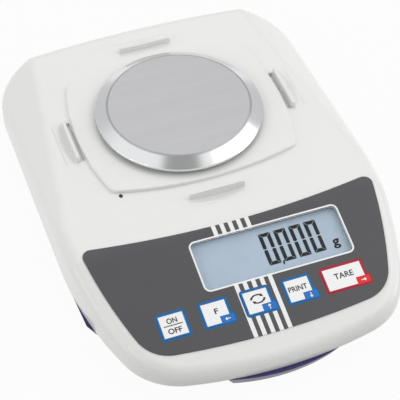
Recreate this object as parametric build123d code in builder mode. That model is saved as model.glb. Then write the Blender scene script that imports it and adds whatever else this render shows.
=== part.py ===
from build123d import *
import math
import os

os.makedirs("parts", exist_ok=True)

# School balance. Millimetres, +Z up, +Y to the back. The origin is on the table,
# under the middle of the balance. The load axis stands at (0, load_y).

# Overall sizes
housing_width = 200.0
housing_length = 273.0
front_lip_reach = 3.0
base_height = 4.0
seam_height = 22.0
deck_height = 52.0
wall = 2.5

# Plan of the housing
back_bow = 7.0
back_corner_radius = 32.0
front_corner_radius = 40.0
front_corner_inset = 23.0
front_bow = 11.5
flank_length = 100.0
rim_radius = 9.0

# Slopes of the top
panel_tilt = 14.0
panel_length = 88.8
shoulder_slope = 30.0
shoulder_back_width = 24.0
shoulder_front_width = 1.0
shoulder_from_back = 32.0
shoulder_run = 162.0
panel_crease_radius = 45.0
shoulder_crease_radius = 14.0

# Load axis, from the back of the housing, and the raised field round it
load_from_back = 92.0
field_rise = 2.1
field_half_width = 66.8
field_half_depth = 58.0
field_corner_x = 59.5
field_corner_y = 49.0
field_corner_radius = 5.0
field_edge_radius = 0.9
post_hole_radius = 13.0
collar_wall = 1.5
collar_rise = 2.4
collar_edge_radius = 0.5

# Bars that hold a draught shield
bar_length = 35.0
bar_width = 4.2
bar_rise = 4.0
bar_edge_radius = 1.1
bar_corner_radius = 1.2
side_bar_x = 69.5
end_bar_y = 66.8
pocket_depth = 1.5
pocket_outer_width = 4.6
pocket_inner_width = 1.4
pocket_end_margin = 2.6
pocket_corner_radius = 2.5

# Weighing plate
plate_radius = 52.5
plate_top_radius = 44.3
plate_top_rise = 11.1
plate_rim_rise = 6.1
plate_rim_drop = 1.2
plate_sheet = 1.0
plate_top_edge_radius = 1.4
plate_rim_edge_radius = 0.7

# Plate carrier, its rubber buffers and the studs of the plate
carrier_radius = 34.0
carrier_sheet = 2.0
carrier_gap_over_collar = 0.6
carrier_hub_radius = 9.0
carrier_hub_depth = 10.0
carrier_window_radius = 7.5
carrier_window_orbit = 19.5
buffer_orbit = 28.0
buffer_count = 4
buffer_flange_radius = 5.6
buffer_neck_radius = 3.9
buffer_hole_clearance = 0.1
buffer_tail = 0.8
stud_radius = 2.0
stud_clearance = 0.35
stud_length = 3.6

# Load cell and what carries it
cell_length = 90.0
cell_width = 16.0
cell_height = 20.0
cell_bore_radius = 8.2
cell_bore_spacing = 22.0
cell_slot = 3.0
cell_screw_radius = 2.0
cell_screw_clearance = 0.05
cell_screw_depth = 8.0
cell_screw_end = 5.0
cell_screw_pitch = 10.0
cell_screw_head_radius = 3.5
cell_screw_head = 2.6
cell_pad = 3.0
cell_pad_length = 20.0
gauge_cover = 0.8
gauge_cover_length = 11.0
gauge_cover_width = 14.0
base_plate_width = 60.0
base_plate_margin = 8.0
base_plate_sheet = 3.0
base_plate_boss = 3.5
base_plate_boss_radius = 4.5
base_plate_screw_inset = 7.0
base_plate_corner_radius = 4.0
base_plate_pilot = 5.0
base_plate_screw_length = 7.0
bracket_width = 28.0
bracket_sheet = 3.0
bracket_reach = 14.0
bracket_fold = 5.0
bracket_fold_sheet = 2.0
spigot_foot_radius = 7.5
spigot_foot = 4.0
spigot_radius = 6.0
spigot_tip_radius = 5.0
spigot_length = 8.0
cone_clearance = 0.05
cone_tip_room = 0.5
stop_radius = 2.5
stop_gap = 0.35
stop_nut_radius = 4.4
stop_nut = 2.0

# Small screws
screw_radius = 1.45
screw_clearance = 0.05
screw_pass_radius = 1.7
screw_head_radius = 3.2
screw_head = 2.2
small_screw_radius = 1.2
small_screw_head_radius = 2.2
small_screw_head = 1.5
small_screw_length = 5.0
small_pilot_depth = 5.0
board_hole_clearance = 0.15

# Lower housing
base_taper_inset = 14.0
seam_inset = 0.6
tongue_height = 2.5
tongue_wall = 1.5
tongue_clearance = 0.2
front_lip_half_width = 34.0
side_lip_length = 47.0
side_lip_inset = 2.4
side_lip_end = 9.0
side_lip_end_inset = 8.5
side_lip_corner_radius = 6.0
lip_height = 10.0
lip_root = 30.0
lip_taper = 25.0
boss_radius = 5.5
boss_top = 12.0
counterbore_radius = 3.8
counterbore_top = 8.5
housing_post_radius = 4.5
housing_screw_length = 11.0
pilot_depth = 9.0
housing_screw_back_x = 56.0
housing_screw_back_y = 100.0
housing_screw_front_x = 62.0
housing_screw_front_y = -100.0
housing_screw_mid_x = 76.0
housing_screw_mid_y = 14.0

# Feet
foot_radius = 8.0
foot_recess = 1.5
foot_clearance = 0.2
foot_floor = 1.0
foot_edge_radius = 0.8
foot_back_x = 68.0
foot_back_y = 108.0
foot_front_x = 48.0
foot_front_y = -104.0

# Battery bay, its lid and the 9 V block
battery_x = -47.0
battery_y = -31.0
battery_length = 46.4
battery_width = 26.5
battery_height = 17.5
battery_corner_radius = 2.0
battery_terminal = 2.0
battery_terminal_radius = 3.2
battery_terminal_spacing = 12.7
battery_seat_gap = 0.3
bay_side_margin = 1.75
bay_clip_room = 7.0
bay_wall = 1.6
lid_sheet = 2.0
lid_gap = 0.3
lid_pin_radius = 0.8
lid_pin_clearance = 0.08
lid_pin_length = 1.5
lid_grip_count = 3
lid_grip_pitch = 2.6
lid_grip_length = 14.0
lid_grip_width = 1.2
lid_grip_depth = 0.5
lid_recess = 0.2
finger_notch_radius = 6.0
finger_notch_depth = 1.3
clip_sheet = 2.6
clip_height = 13.0
lead_hole = 4.0
lead_hole_drop = 8.0

# Keypad, in the plane of the panel: v runs up the slope from the crease
foil_sheet = 0.5
foil_top_v = -0.8
foil_corner_v = 6.5
foil_corner_x = 91.5
foil_side_x = 87.0
foil_side_v = -22.0
foil_foot_x = 72.5
foil_foot_v = -69.5
foil_bottom_v = -74.8
foil_top_radius = 5.0
foil_foot_radius = 22.0
key_top_v = -46.3
key_height = 15.3
key_width = 16.2
key_pitch = 25.5
first_key_x = -54.5
tare_key_x = 50.5
tare_key_width = 25.3
key_corner_radius = 1.0
key_gap = 0.2
key_rise = 0.25
key_sheet = 1.0
key_edge_radius = 0.2
key_travel = 0.35
tab_width = 8.5
tab_height = 5.0
tab_reach = 1.8
dome_gap = 0.05
switch_margin = 1.6
switch_corner_radius = 2.0
circuit_sheet = 0.4
layer_clearance = 0.1
dome_radius = 5.0
dome_rise = 0.35
dome_edge_width = 1.2
tail_x = 0.0
tail_width = 14.0
tail_slot = 1.0
tail_slot_margin = 0.5

# Display, in the plane of the panel
window_x = 16.6
window_top_v = -8.3
window_width = 91.6
window_height = 31.3
window_corner_radius = 3.0
window_pane = 0.5
window_pane_margin = 2.2
opening_margin = 0.4
gasket_sheet = 0.5
gasket_width = 2.6
glass_margin = 3.2
glass_sheet = 2.8
backlight_sheet = 2.5
board_sheet = 1.6
display_board_margin_x = 10.2
display_board_margin_v = 4.4
display_post_radius = 2.5
display_post_edge = 3.5
display_post_v = 13.0

# Electronics on the floor of the lower housing
main_board_x = 43.0
main_board_y = -36.0
main_board_width = 70.0
main_board_depth = 52.0
main_board_lift = 7.5
board_post_radius = 3.0
board_post_inset = 4.0
port_board_x = -6.0
port_board_width = 100.0
port_board_depth = 22.0
port_board_back_gap = 8.0
port_board_height = 27.0
port_post_pitch = 8.0
inlet_x = -40.0
inlet_width = 11.0
inlet_depth = 14.0
inlet_height = 11.0
inlet_nose_radius = 4.2
inlet_nose_clearance = 0.3
inlet_bore_radius = 2.9
inlet_bore_depth = 10.0
inlet_pin_radius = 1.0
port_x = 20.0
port_flange_width = 30.8
port_flange_height = 12.5
port_flange_sheet = 1.0
port_shell_width = 16.9
port_shell_height = 8.4
port_shell_corner = 2.0
port_flange_corner = 1.5
port_body_width = 20.0
port_body_top = 5.0
port_body_depth = 11.0
port_centre_lift = 6.6
port_clearance = 0.4
port_pin_radius = 0.55
port_pin_pitch = 2.77
port_pin_row = 2.84
port_pin_depth = 5.0
port_screw_spacing = 25.0
port_screw_radius = 2.4
socket_setback = 0.4
back_cut_depth = 6.0

# Places worked out from the sizes above
half_width = housing_width / 2
back_y = (housing_length + front_lip_reach) / 2
front_y = back_y - housing_length
front_corner_x = half_width - front_corner_inset
front_corner_y = front_y + front_bow
flank_start_y = front_corner_y + flank_length
crease_y = front_y + panel_length
load_y = back_y - load_from_back
slope = math.radians(panel_tilt)
panel = Plane(
    origin=(0, crease_y, deck_height),
    x_dir=(1, 0, 0),
    z_dir=(0, -math.sin(slope), math.cos(slope)),
)
field_top = deck_height + field_rise
collar_top = field_top + collar_rise
floor_top = base_height + wall
plate_top = deck_height + plate_top_rise
plate_under = plate_top - plate_sheet
carrier_bottom = collar_top + carrier_gap_over_collar
carrier_top = carrier_bottom + carrier_sheet
base_plate_bottom = floor_top + base_plate_boss
base_plate_top = base_plate_bottom + base_plate_sheet
cell_bottom = base_plate_top + cell_pad
cell_top = cell_bottom + cell_height
bracket_bottom = cell_top + cell_pad
bracket_top = bracket_bottom + bracket_sheet
spigot_bottom = bracket_top + spigot_foot
spigot_top = spigot_bottom + spigot_length
cell_front = load_y - cell_length / 2
cell_back = load_y + cell_length / 2
fixed_screw_ys = [cell_back - cell_screw_end - i * cell_screw_pitch for i in range(2)]
free_screw_ys = [cell_front + cell_screw_end + i * cell_screw_pitch for i in range(2)]
stop_y = cell_front + cell_screw_end
cell_middle = (cell_bottom + cell_top) / 2
bracket_end_y = load_y + bracket_reach
fixed_screw_length = base_plate_sheet + cell_pad + cell_screw_depth
free_screw_length = bracket_sheet + cell_pad + cell_screw_depth
base_plate_length = cell_length + 2 * base_plate_margin
base_plate_spots = [
    (
        i * (base_plate_width / 2 - base_plate_screw_inset),
        load_y + j * (base_plate_length / 2 - base_plate_screw_inset),
    )
    for i in (-1, 1)
    for j in (-1, 1)
]
key_names = ["key_on_off", "key_function", "key_cycle", "key_print"]
key_spots = {name: (first_key_x + i * key_pitch, key_width) for i, name in enumerate(key_names)}
key_spots["key_tare"] = (tare_key_x, tare_key_width)
key_v = key_top_v - key_height / 2
key_under = key_sheet - foil_sheet - key_rise
switch_recess = key_under + key_travel + dome_gap + dome_rise + circuit_sheet
tail_v = key_top_v + switch_margin - tail_slot
window_v = window_top_v - window_height / 2
board_top_n = -(wall + gasket_sheet + glass_sheet + backlight_sheet)
display_board_width = window_width + 2 * display_board_margin_x
display_board_height = window_height + 2 * display_board_margin_v
display_post_spots = [
    (window_x + i * (display_board_width / 2 - display_post_edge), window_v + j * display_post_v)
    for i in (-1, 1)
    for j in (-1, 1)
]
housing_screw_spots = [
    (side * x, y)
    for side in (-1, 1)
    for x, y in (
        (housing_screw_back_x, housing_screw_back_y),
        (housing_screw_mid_x, housing_screw_mid_y),
        (housing_screw_front_x, housing_screw_front_y),
    )
]
foot_spots = {
    "foot_back_left": (-foot_back_x, foot_back_y),
    "foot_back_right": (foot_back_x, foot_back_y),
    "foot_front_left": (-foot_front_x, foot_front_y),
    "foot_front_right": (foot_front_x, foot_front_y),
}
foot_pad_top = base_height + foot_recess + wall
bay_length = battery_length + 2 * battery_seat_gap + bay_clip_room
bay_width = battery_width + 2 * bay_side_margin
bay_centre = (battery_x + bay_clip_room / 2, battery_y)
hinge_y = battery_y + bay_width / 2 - lid_gap - lid_sheet / 2
hinge_z = base_height + lid_recess + lid_sheet / 2
lid_front_y = battery_y - bay_width / 2 + lid_gap
battery_bottom = base_height + lid_recess + lid_sheet + battery_seat_gap
battery_z = battery_bottom + battery_height / 2
bay_roof = battery_bottom + battery_height + battery_seat_gap
terminal_spots = [(battery_y + i * battery_terminal_spacing / 2, battery_z) for i in (-1, 1)]
main_board_bottom = floor_top + main_board_lift
main_board_top = main_board_bottom + board_sheet
main_board_spots = [
    (
        main_board_x + i * (main_board_width / 2 - board_post_inset),
        main_board_y + j * (main_board_depth / 2 - board_post_inset),
    )
    for i in (-1, 1)
    for j in (-1, 1)
]
port_board_top = port_board_height + board_sheet
port_board_y = back_y - port_board_back_gap - port_board_depth / 2
port_board_front = port_board_y - port_board_depth / 2
port_board_spots = [
    (
        port_board_x + i * (port_board_width / 2 - board_post_inset),
        port_board_front + row * port_post_pitch - board_post_inset,
    )
    for i in (-1, 1)
    for row in (1, 2)
]
inlet_z = port_board_top + inlet_height / 2
port_z = port_board_top + port_centre_lift
low_z = (Align.CENTER, Align.CENTER, Align.MIN)


def save(builder, name):
    builder.part.label = name
    export_step(builder.part, f"parts/{name}.step")


def back_wall_y(x):
    """Outer face of the back wall at x."""
    bow_radius = (half_width**2 + back_bow**2) / (2 * back_bow)
    return back_y - bow_radius + math.sqrt(bow_radius**2 - x**2)


inlet_back_y = back_wall_y(inlet_x - inlet_width / 2) - wall - socket_setback
inlet_end_y = back_wall_y(inlet_x - inlet_nose_radius) - socket_setback
port_flange_y = back_wall_y(port_x + port_flange_width / 2) - wall
port_end_y = back_wall_y(port_x + port_flange_width / 2) - socket_setback


def plan_outline(inset):
    """Outline of the housing seen from above, moved in by inset."""
    with BuildSketch() as plan:
        with BuildLine():
            TangentArc((0, back_y), (half_width, back_y - back_bow), tangent=(1, 0))
            Line((half_width, back_y - back_bow), (half_width, flank_start_y))
            TangentArc(
                (half_width, flank_start_y), (front_corner_x, front_corner_y), tangent=(0, -1)
            )
            TangentArc(
                (front_corner_x, front_corner_y),
                (0, front_y),
                tangent=(-1, 0),
                tangent_from_first=False,
            )
            mirror(about=Plane.YZ)
        make_face()
        near = 0.01
        back_corners = plan.vertices().filter_by(lambda v: abs(v.Y - back_y + back_bow) < near)
        fillet(back_corners, back_corner_radius)
        front_corners = plan.vertices().filter_by(lambda v: abs(v.Y - front_corner_y) < near)
        fillet(front_corners, front_corner_radius)
        if inset:
            offset(amount=-inset)
    return plan.sketch


def shoulder_crease(side):
    """Plane across the crease of one shoulder: x points outwards and y up."""
    back = Vector(
        side * (half_width - shoulder_back_width), back_y - shoulder_from_back, deck_height
    )
    front = Vector(
        side * (half_width - shoulder_front_width), back.Y - shoulder_run, deck_height
    )
    along = (back - front).normalized()
    out = Vector(along.Y, -along.X) * side
    return Plane(origin=back, x_dir=out, z_dir=(out.Y, -out.X, 0))


def shoulder_plane(side):
    """Sloping side of the top, whose crease runs out towards the front."""
    crease = shoulder_crease(side)
    lean = math.radians(shoulder_slope)
    normal = crease.x_dir * math.sin(lean) + crease.y_dir * math.cos(lean)
    return Plane(origin=crease.origin, x_dir=crease.z_dir, z_dir=normal)


def block_under(top_plane, inset, edge_radius):
    """The plan of the housing from the seam up to one plane, with a rounded rim."""
    with BuildPart() as block:
        with BuildSketch(Plane.XY.offset(seam_height)):
            add(plan_outline(inset))
        extrude(amount=4 * deck_height)
        split(bisect_by=top_plane, keep=Keep.BOTTOM)
        top = block.faces().filter_by(Axis((0, 0, 0), top_plane.z_dir)).sort_by(Axis.Z)[-1]
        fillet(top.edges(), edge_radius)
    return block.part


def housing_form(inset, edge_radius):
    """Solid form of the upper housing, moved in by inset."""
    with BuildPart() as form:
        add(block_under(Plane.XY.offset(deck_height - inset), inset, edge_radius))
        for top_plane in (panel, shoulder_plane(1), shoulder_plane(-1)):
            add(block_under(top_plane.offset(-inset), inset, edge_radius), mode=Mode.INTERSECT)
    return form.part


def crease_cutter(crease_plane, turn, radius):
    """Prism that rounds a crease. In crease_plane, x points along the steeper face."""
    lean = math.radians(turn)
    reach = radius * math.tan(lean / 2)
    top = (-reach, 0)
    low = (reach * math.cos(lean), -reach * math.sin(lean))
    middle = (-reach + radius * math.sin(lean / 2), radius * (math.cos(lean / 2) - 1))
    with BuildPart() as cutter:
        with BuildSketch(crease_plane):
            with BuildLine():
                ThreePointArc(top, middle, low)
                Polyline(low, (low[0], wall), (top[0], wall), top)
            make_face()
        extrude(amount=2 * housing_length, both=True)
    return cutter.part


def field_outline(inset):
    """Outline of the raised field round the load axis."""
    quarter = [(field_corner_x, field_half_depth), (field_half_width, field_corner_y)]
    points = quarter
    points = points + [(x, -y) for x, y in reversed(points)]
    points = points + [(-x, y) for x, y in reversed(points)]
    with BuildSketch() as outline:
        with BuildLine():
            Polyline(*points, close=True)
        make_face()
        fillet(outline.vertices(), field_corner_radius)
        if inset:
            offset(amount=-inset)
    return outline.sketch


def bar_frame(inner_margin, outer_margin, end_margin, corner_radius):
    """Footprints of the four bars, widened by the margins."""
    width = bar_width + inner_margin + outer_margin
    length = bar_length + 2 * end_margin
    shift = (bar_width + outer_margin - inner_margin) / 2
    with BuildSketch() as frame:
        for side in (-1, 1):
            with Locations((side * (side_bar_x + shift), 0)):
                RectangleRounded(width, length, corner_radius)
            with Locations((0, side * (end_bar_y + shift))):
                RectangleRounded(length, width, corner_radius)
    return frame.sketch


def lower_form(base_inset, top_inset, bottom):
    """Tapered form of the lower housing, from bottom up to the seam."""
    with BuildPart() as form:
        with BuildSketch(Plane.XY.offset(bottom)):
            add(plan_outline(base_inset))
        with BuildSketch(Plane.XY.offset(seam_height)):
            add(plan_outline(top_inset))
        loft()
    return form.part


def lips():
    """Lips of the lower housing that stand out below the seam, in front and at the sides."""
    front_sag = front_bow * (front_lip_half_width / front_corner_x) ** 2
    lip_end_y = front_y + front_sag
    with BuildPart() as part:
        with BuildSketch(Plane.XY.offset(seam_height)):
            with BuildLine():
                ThreePointArc(
                    (-front_lip_half_width, lip_end_y),
                    (0, front_y - front_lip_reach),
                    (front_lip_half_width, lip_end_y),
                )
                Polyline(
                    (front_lip_half_width, lip_end_y),
                    (front_lip_half_width, lip_end_y + lip_root),
                    (-front_lip_half_width, lip_end_y + lip_root),
                    (-front_lip_half_width, lip_end_y),
                )
            make_face()
        extrude(amount=lip_height, dir=(0, 0, -1), taper=lip_taper)
        for side in (-1, 1):
            corner = (side * (half_width - side_lip_inset), flank_start_y - side_lip_length)
            with BuildSketch(Plane.XY.offset(seam_height)) as side_lip:
                with BuildLine():
                    Polyline(
                        (side * half_width, flank_start_y),
                        corner,
                        (side * (half_width - side_lip_end_inset), corner[1] - side_lip_end),
                        (side * (half_width - lip_root), corner[1] - side_lip_end),
                        (side * (half_width - lip_root), flank_start_y),
                        close=True,
                    )
                make_face()
                fillet(side_lip.vertices().sort_by_distance(corner)[0], side_lip_corner_radius)
            extrude(amount=lip_height, dir=(0, 0, -1), taper=lip_taper)
    return part.part


def screw(radius, length, head_radius, head):
    """Pan-head screw with its head's underside at the origin, pointing up."""
    with BuildPart() as part:
        Cylinder(radius, length, align=(Align.CENTER, Align.CENTER, Align.MIN))
        Cylinder(head_radius, head, align=(Align.CENTER, Align.CENTER, Align.MAX))
        fillet(part.faces().sort_by(Axis.Z)[0].edges(), head * 0.35)
    return part.part


def keypad_outline():
    """Outline of the keypad foil in the plane of the panel."""
    top_corners = [(side * foil_corner_x, foil_corner_v) for side in (-1, 1)]
    sides = [(side * foil_side_x, foil_side_v) for side in (-1, 1)]
    feet = [(side * foil_foot_x, foil_foot_v) for side in (-1, 1)]
    with BuildSketch() as outline:
        with BuildLine():
            ThreePointArc(top_corners[0], (0, foil_top_v), top_corners[1])
            ThreePointArc(top_corners[1], sides[1], feet[1])
            ThreePointArc(feet[1], (0, foil_bottom_v), feet[0])
            ThreePointArc(feet[0], sides[0], top_corners[0])
        make_face()
        fillet(outline.vertices().group_by(Axis.Y)[-1], foil_top_radius)
        fillet(outline.vertices().group_by(Axis.Y)[0], foil_foot_radius)
    return outline.sketch


def key_outline(name, grow):
    """Outline of one key with its function tab, grown all round by grow."""
    x, width = key_spots[name]
    corner = key_corner_radius + grow
    with BuildSketch() as outline:
        with Locations((x, key_v)):
            RectangleRounded(width + 2 * grow, key_height + 2 * grow, corner)
        if name != "key_on_off":
            tab_x = x + width / 2 + tab_reach - tab_width / 2
            tab_v = key_v - key_height / 2 + tab_height / 2
            with Locations((tab_x, tab_v)):
                RectangleRounded(tab_width + 2 * grow, tab_height + 2 * grow, corner)
    return outline.sketch


def window_outline(grow):
    """Outline of the display window, grown all round by grow."""
    corner = window_corner_radius + max(grow, 0)
    with BuildSketch() as outline:
        with Locations((window_x, window_v)):
            RectangleRounded(window_width + 2 * grow, window_height + 2 * grow, corner)
    return outline.sketch


def switch_outline(grow):
    """Outline of the switch layers under the row of keys."""
    left = first_key_x - key_width / 2 - switch_margin
    right = tare_key_x + tare_key_width / 2 + tab_reach + switch_margin
    height = key_height + 2 * switch_margin
    with BuildSketch() as outline:
        with Locations(((left + right) / 2, key_v)):
            RectangleRounded(right - left + 2 * grow, height + 2 * grow, switch_corner_radius)
    return outline.sketch


def on_panel(v, n):
    """Y and Z of a point v up the panel's slope and n above its face."""
    return (
        crease_y + v * math.cos(slope) - n * math.sin(slope),
        deck_height + v * math.sin(slope) + n * math.cos(slope),
    )


def raised_field():
    """Solid of the raised field, with its rounded edge."""
    with BuildPart() as field:
        with BuildSketch(Plane((0, load_y, deck_height - wall))):
            add(field_outline(0))
        extrude(amount=wall + field_rise)
        fillet(field.faces().sort_by(Axis.Z)[-1].edges(), field_edge_radius)
    return field.part


def shield_bars():
    """The four bars, from inside the floor of their pockets up."""
    sunk = (wall + pocket_depth) / 2
    with BuildPart() as bars:
        with BuildSketch(Plane((0, load_y, deck_height - sunk))):
            add(bar_frame(0, 0, 0, bar_corner_radius))
        extrude(amount=sunk + bar_rise)
        tops = bars.faces().filter_by(Axis.Z).group_by(Axis.Z)[-1]
        fillet(tops.edges(), bar_edge_radius)
    return bars.part


# Upper housing: deck, sloping panel and shoulders in one moulding
with BuildPart() as upper_housing:
    add(housing_form(0, rim_radius))
    front_crease = Plane(origin=(0, crease_y, deck_height), x_dir=(0, -1, 0), z_dir=(-1, 0, 0))
    add(crease_cutter(front_crease, panel_tilt, panel_crease_radius), mode=Mode.SUBTRACT)
    for side in (-1, 1):
        side_cutter = crease_cutter(shoulder_crease(side), shoulder_slope, shoulder_crease_radius)
        add(side_cutter, mode=Mode.SUBTRACT)
    add(housing_form(wall, rim_radius - wall), mode=Mode.SUBTRACT)
    # Raised field, hollow below, and the collar round the post
    add(raised_field())
    with BuildSketch(Plane((0, load_y, deck_height - wall))):
        add(field_outline(wall))
    extrude(amount=field_rise, mode=Mode.SUBTRACT)
    with BuildSketch(Plane((0, load_y, field_top - wall))):
        Circle(post_hole_radius + collar_wall)
    extrude(amount=wall + collar_rise)
    fillet(upper_housing.faces().sort_by(Axis.Z)[-1].edges(), collar_edge_radius)
    with BuildSketch(Plane((0, load_y, deck_height - wall))):
        Circle(post_hole_radius)
    extrude(amount=2 * wall + field_rise + collar_rise, mode=Mode.SUBTRACT)
    # Pockets and bars for a draught shield
    with BuildSketch(Plane((0, load_y, deck_height))):
        add(bar_frame(pocket_inner_width, pocket_outer_width, pocket_end_margin, pocket_corner_radius))
    extrude(amount=-pocket_depth, mode=Mode.SUBTRACT)
    add(shield_bars())
    # Posts that the housing screws go into
    with BuildSketch(Plane.XY.offset(boss_top)):
        with Locations(*housing_screw_spots):
            Circle(housing_post_radius)
    posts = extrude(amount=deck_height - wall / 2 - boss_top, mode=Mode.PRIVATE)
    add(split(posts, bisect_by=panel.offset(-wall / 2), keep=Keep.BOTTOM, mode=Mode.PRIVATE))
    with BuildSketch(Plane.XY.offset(boss_top)):
        with Locations(*housing_screw_spots):
            Circle(screw_radius + screw_clearance)
    extrude(amount=pilot_depth, mode=Mode.SUBTRACT)
    # Posts of the display board
    with BuildSketch(panel.offset(board_top_n)):
        with Locations(*display_post_spots):
            Circle(display_post_radius)
    extrude(amount=-board_top_n - wall / 2)
    with BuildSketch(panel.offset(board_top_n)):
        with Locations(*display_post_spots):
            Circle(small_screw_radius + screw_clearance)
    extrude(amount=small_pilot_depth, mode=Mode.SUBTRACT)
    # Window with its rebate, recess for the switch layers and slot for their tail
    with BuildSketch(panel):
        add(window_outline(opening_margin))
    extrude(amount=-2 * wall, mode=Mode.SUBTRACT)
    with BuildSketch(panel):
        add(window_outline(window_pane_margin + layer_clearance))
    extrude(amount=-window_pane, mode=Mode.SUBTRACT)
    with BuildSketch(panel):
        add(switch_outline(0))
    extrude(amount=-switch_recess, mode=Mode.SUBTRACT)
    with BuildSketch(panel):
        with Locations((tail_x, tail_v)):
            Rectangle(tail_width + 2 * tail_slot_margin, tail_slot)
    extrude(amount=-2 * wall, mode=Mode.SUBTRACT)
    # Openings in the back wall
    rear = Plane(origin=(0, back_y, 0), x_dir=(1, 0, 0), z_dir=(0, -1, 0))
    with BuildSketch(rear):
        with Locations((inlet_x, inlet_z)):
            Circle(inlet_nose_radius + inlet_nose_clearance)
        with Locations((port_x, port_z)):
            RectangleRounded(
                port_shell_width + 2 * port_clearance,
                port_shell_height + 2 * port_clearance,
                port_shell_corner + port_clearance,
            )
        with Locations(*[(port_x + side * port_screw_spacing / 2, port_z) for side in (-1, 1)]):
            Circle(port_screw_radius + port_clearance / 2)
    extrude(amount=back_cut_depth, mode=Mode.SUBTRACT)
save(upper_housing, "upper_housing")

# Lower housing: tapered tray with the bosses, posts and the battery bay
with BuildPart() as lower_housing:
    add(lower_form(base_taper_inset, seam_inset, base_height))
    add(lips())
    add(
        lower_form(base_taper_inset + wall, wall + tongue_clearance + tongue_wall, floor_top),
        mode=Mode.SUBTRACT,
    )
    with BuildSketch(Plane.XY.offset(seam_height)):
        add(plan_outline(wall + tongue_clearance))
        add(plan_outline(wall + tongue_clearance + tongue_wall), mode=Mode.SUBTRACT)
    extrude(amount=tongue_height)
    # Bosses and posts, each a list of centres, its radius and its top
    for spots, radius, top in (
        (housing_screw_spots, boss_radius, boss_top),
        (base_plate_spots, base_plate_boss_radius, base_plate_bottom),
        (main_board_spots, board_post_radius, main_board_bottom),
        (port_board_spots, board_post_radius, port_board_height),
        (list(foot_spots.values()), foot_radius + foot_clearance + foot_recess, foot_pad_top),
    ):
        with BuildSketch(Plane.XY.offset(floor_top - foot_floor)):
            with Locations(*spots):
                Circle(radius)
        extrude(amount=top - floor_top + foot_floor)
    # Battery bay, open below, with the holes of the lid's pins and a finger notch
    with BuildSketch(Plane.XY.offset(base_height)):
        with Locations(bay_centre):
            Rectangle(bay_length + 2 * bay_wall, bay_width + 2 * bay_wall)
    extrude(amount=bay_roof + bay_wall - base_height)
    with BuildSketch(Plane.XY.offset(base_height)):
        with Locations(bay_centre):
            Rectangle(bay_length, bay_width)
    extrude(amount=bay_roof - base_height, mode=Mode.SUBTRACT)
    with Locations(Location((bay_centre[0], hinge_y, hinge_z), (0, 90, 0))):
        Cylinder(
            lid_pin_radius + lid_pin_clearance,
            bay_length + 2 * lid_pin_length,
            mode=Mode.SUBTRACT,
        )
    with BuildSketch(Plane.XY.offset(base_height)):
        with Locations((bay_centre[0], bay_centre[1] - bay_width / 2)):
            Circle(finger_notch_radius)
    extrude(amount=finger_notch_depth, mode=Mode.SUBTRACT)
    with BuildSketch(Plane.XY.offset(bay_roof - lead_hole_drop)):
        with Locations((bay_centre[0] + (bay_length + bay_wall) / 2, battery_y)):
            Rectangle(bay_wall, lead_hole)
    extrude(amount=lead_hole, mode=Mode.SUBTRACT)
    # Foot recesses and screw holes
    with BuildSketch(Plane.XY.offset(base_height)):
        with Locations(*foot_spots.values()):
            Circle(foot_radius + foot_clearance)
    extrude(amount=foot_recess, mode=Mode.SUBTRACT)
    with BuildSketch(Plane.XY.offset(base_height)):
        with Locations(*housing_screw_spots):
            Circle(screw_pass_radius)
    extrude(amount=boss_top - base_height, mode=Mode.SUBTRACT)
    with BuildSketch(Plane.XY.offset(base_height)):
        with Locations(*housing_screw_spots):
            Circle(counterbore_radius)
    extrude(amount=counterbore_top - base_height, mode=Mode.SUBTRACT)
    for spots, radius, top, depth in (
        (base_plate_spots, screw_radius, base_plate_bottom, base_plate_pilot),
        (main_board_spots, small_screw_radius, main_board_bottom, small_pilot_depth),
        (port_board_spots, small_screw_radius, port_board_height, small_pilot_depth),
    ):
        with BuildSketch(Plane.XY.offset(top)):
            with Locations(*spots):
                Circle(radius + screw_clearance)
        extrude(amount=-depth, mode=Mode.SUBTRACT)
save(lower_housing, "lower_housing")

# Housing screws, up through the bosses into the posts
with BuildPart() as housing_screws:
    with Locations(*[(x, y, counterbore_top) for x, y in housing_screw_spots]):
        add(screw(screw_radius, housing_screw_length, screw_head_radius, screw_head))
save(housing_screws, "housing_screws")

# Rubber feet
for foot_name, foot_spot in foot_spots.items():
    with BuildPart() as foot:
        with BuildSketch(Plane(foot_spot)):
            Circle(foot_radius)
        extrude(amount=base_height + foot_recess)
        fillet(foot.faces().sort_by(Axis.Z)[0].edges(), foot_edge_radius)
    save(foot, foot_name)

# Battery lid: back edge rounded about the pins, which are moulded on
with BuildPart() as battery_lid:
    with BuildSketch(Plane.YZ.offset(bay_centre[0])) as lid_profile:
        with BuildLine():
            Polyline(
                (hinge_y, hinge_z + lid_sheet / 2),
                (lid_front_y, hinge_z + lid_sheet / 2),
                (lid_front_y, hinge_z - lid_sheet / 2),
                (hinge_y, hinge_z - lid_sheet / 2),
            )
            ThreePointArc(
                (hinge_y, hinge_z - lid_sheet / 2),
                (hinge_y + lid_sheet / 2, hinge_z),
                (hinge_y, hinge_z + lid_sheet / 2),
            )
        make_face()
    extrude(amount=bay_length / 2 - lid_gap, both=True)
    with Locations(Location((bay_centre[0], hinge_y, hinge_z), (0, 90, 0))):
        Cylinder(lid_pin_radius, bay_length - 2 * lid_gap + 2 * lid_pin_length)
    with BuildSketch(Plane.XY.offset(hinge_z - lid_sheet / 2)):
        for step in range(lid_grip_count):
            with Locations((bay_centre[0], lid_front_y + (step + 1) * lid_grip_pitch)):
                SlotOverall(lid_grip_length, lid_grip_width)
    extrude(amount=lid_grip_depth, mode=Mode.SUBTRACT)
save(battery_lid, "battery_lid")

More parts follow.
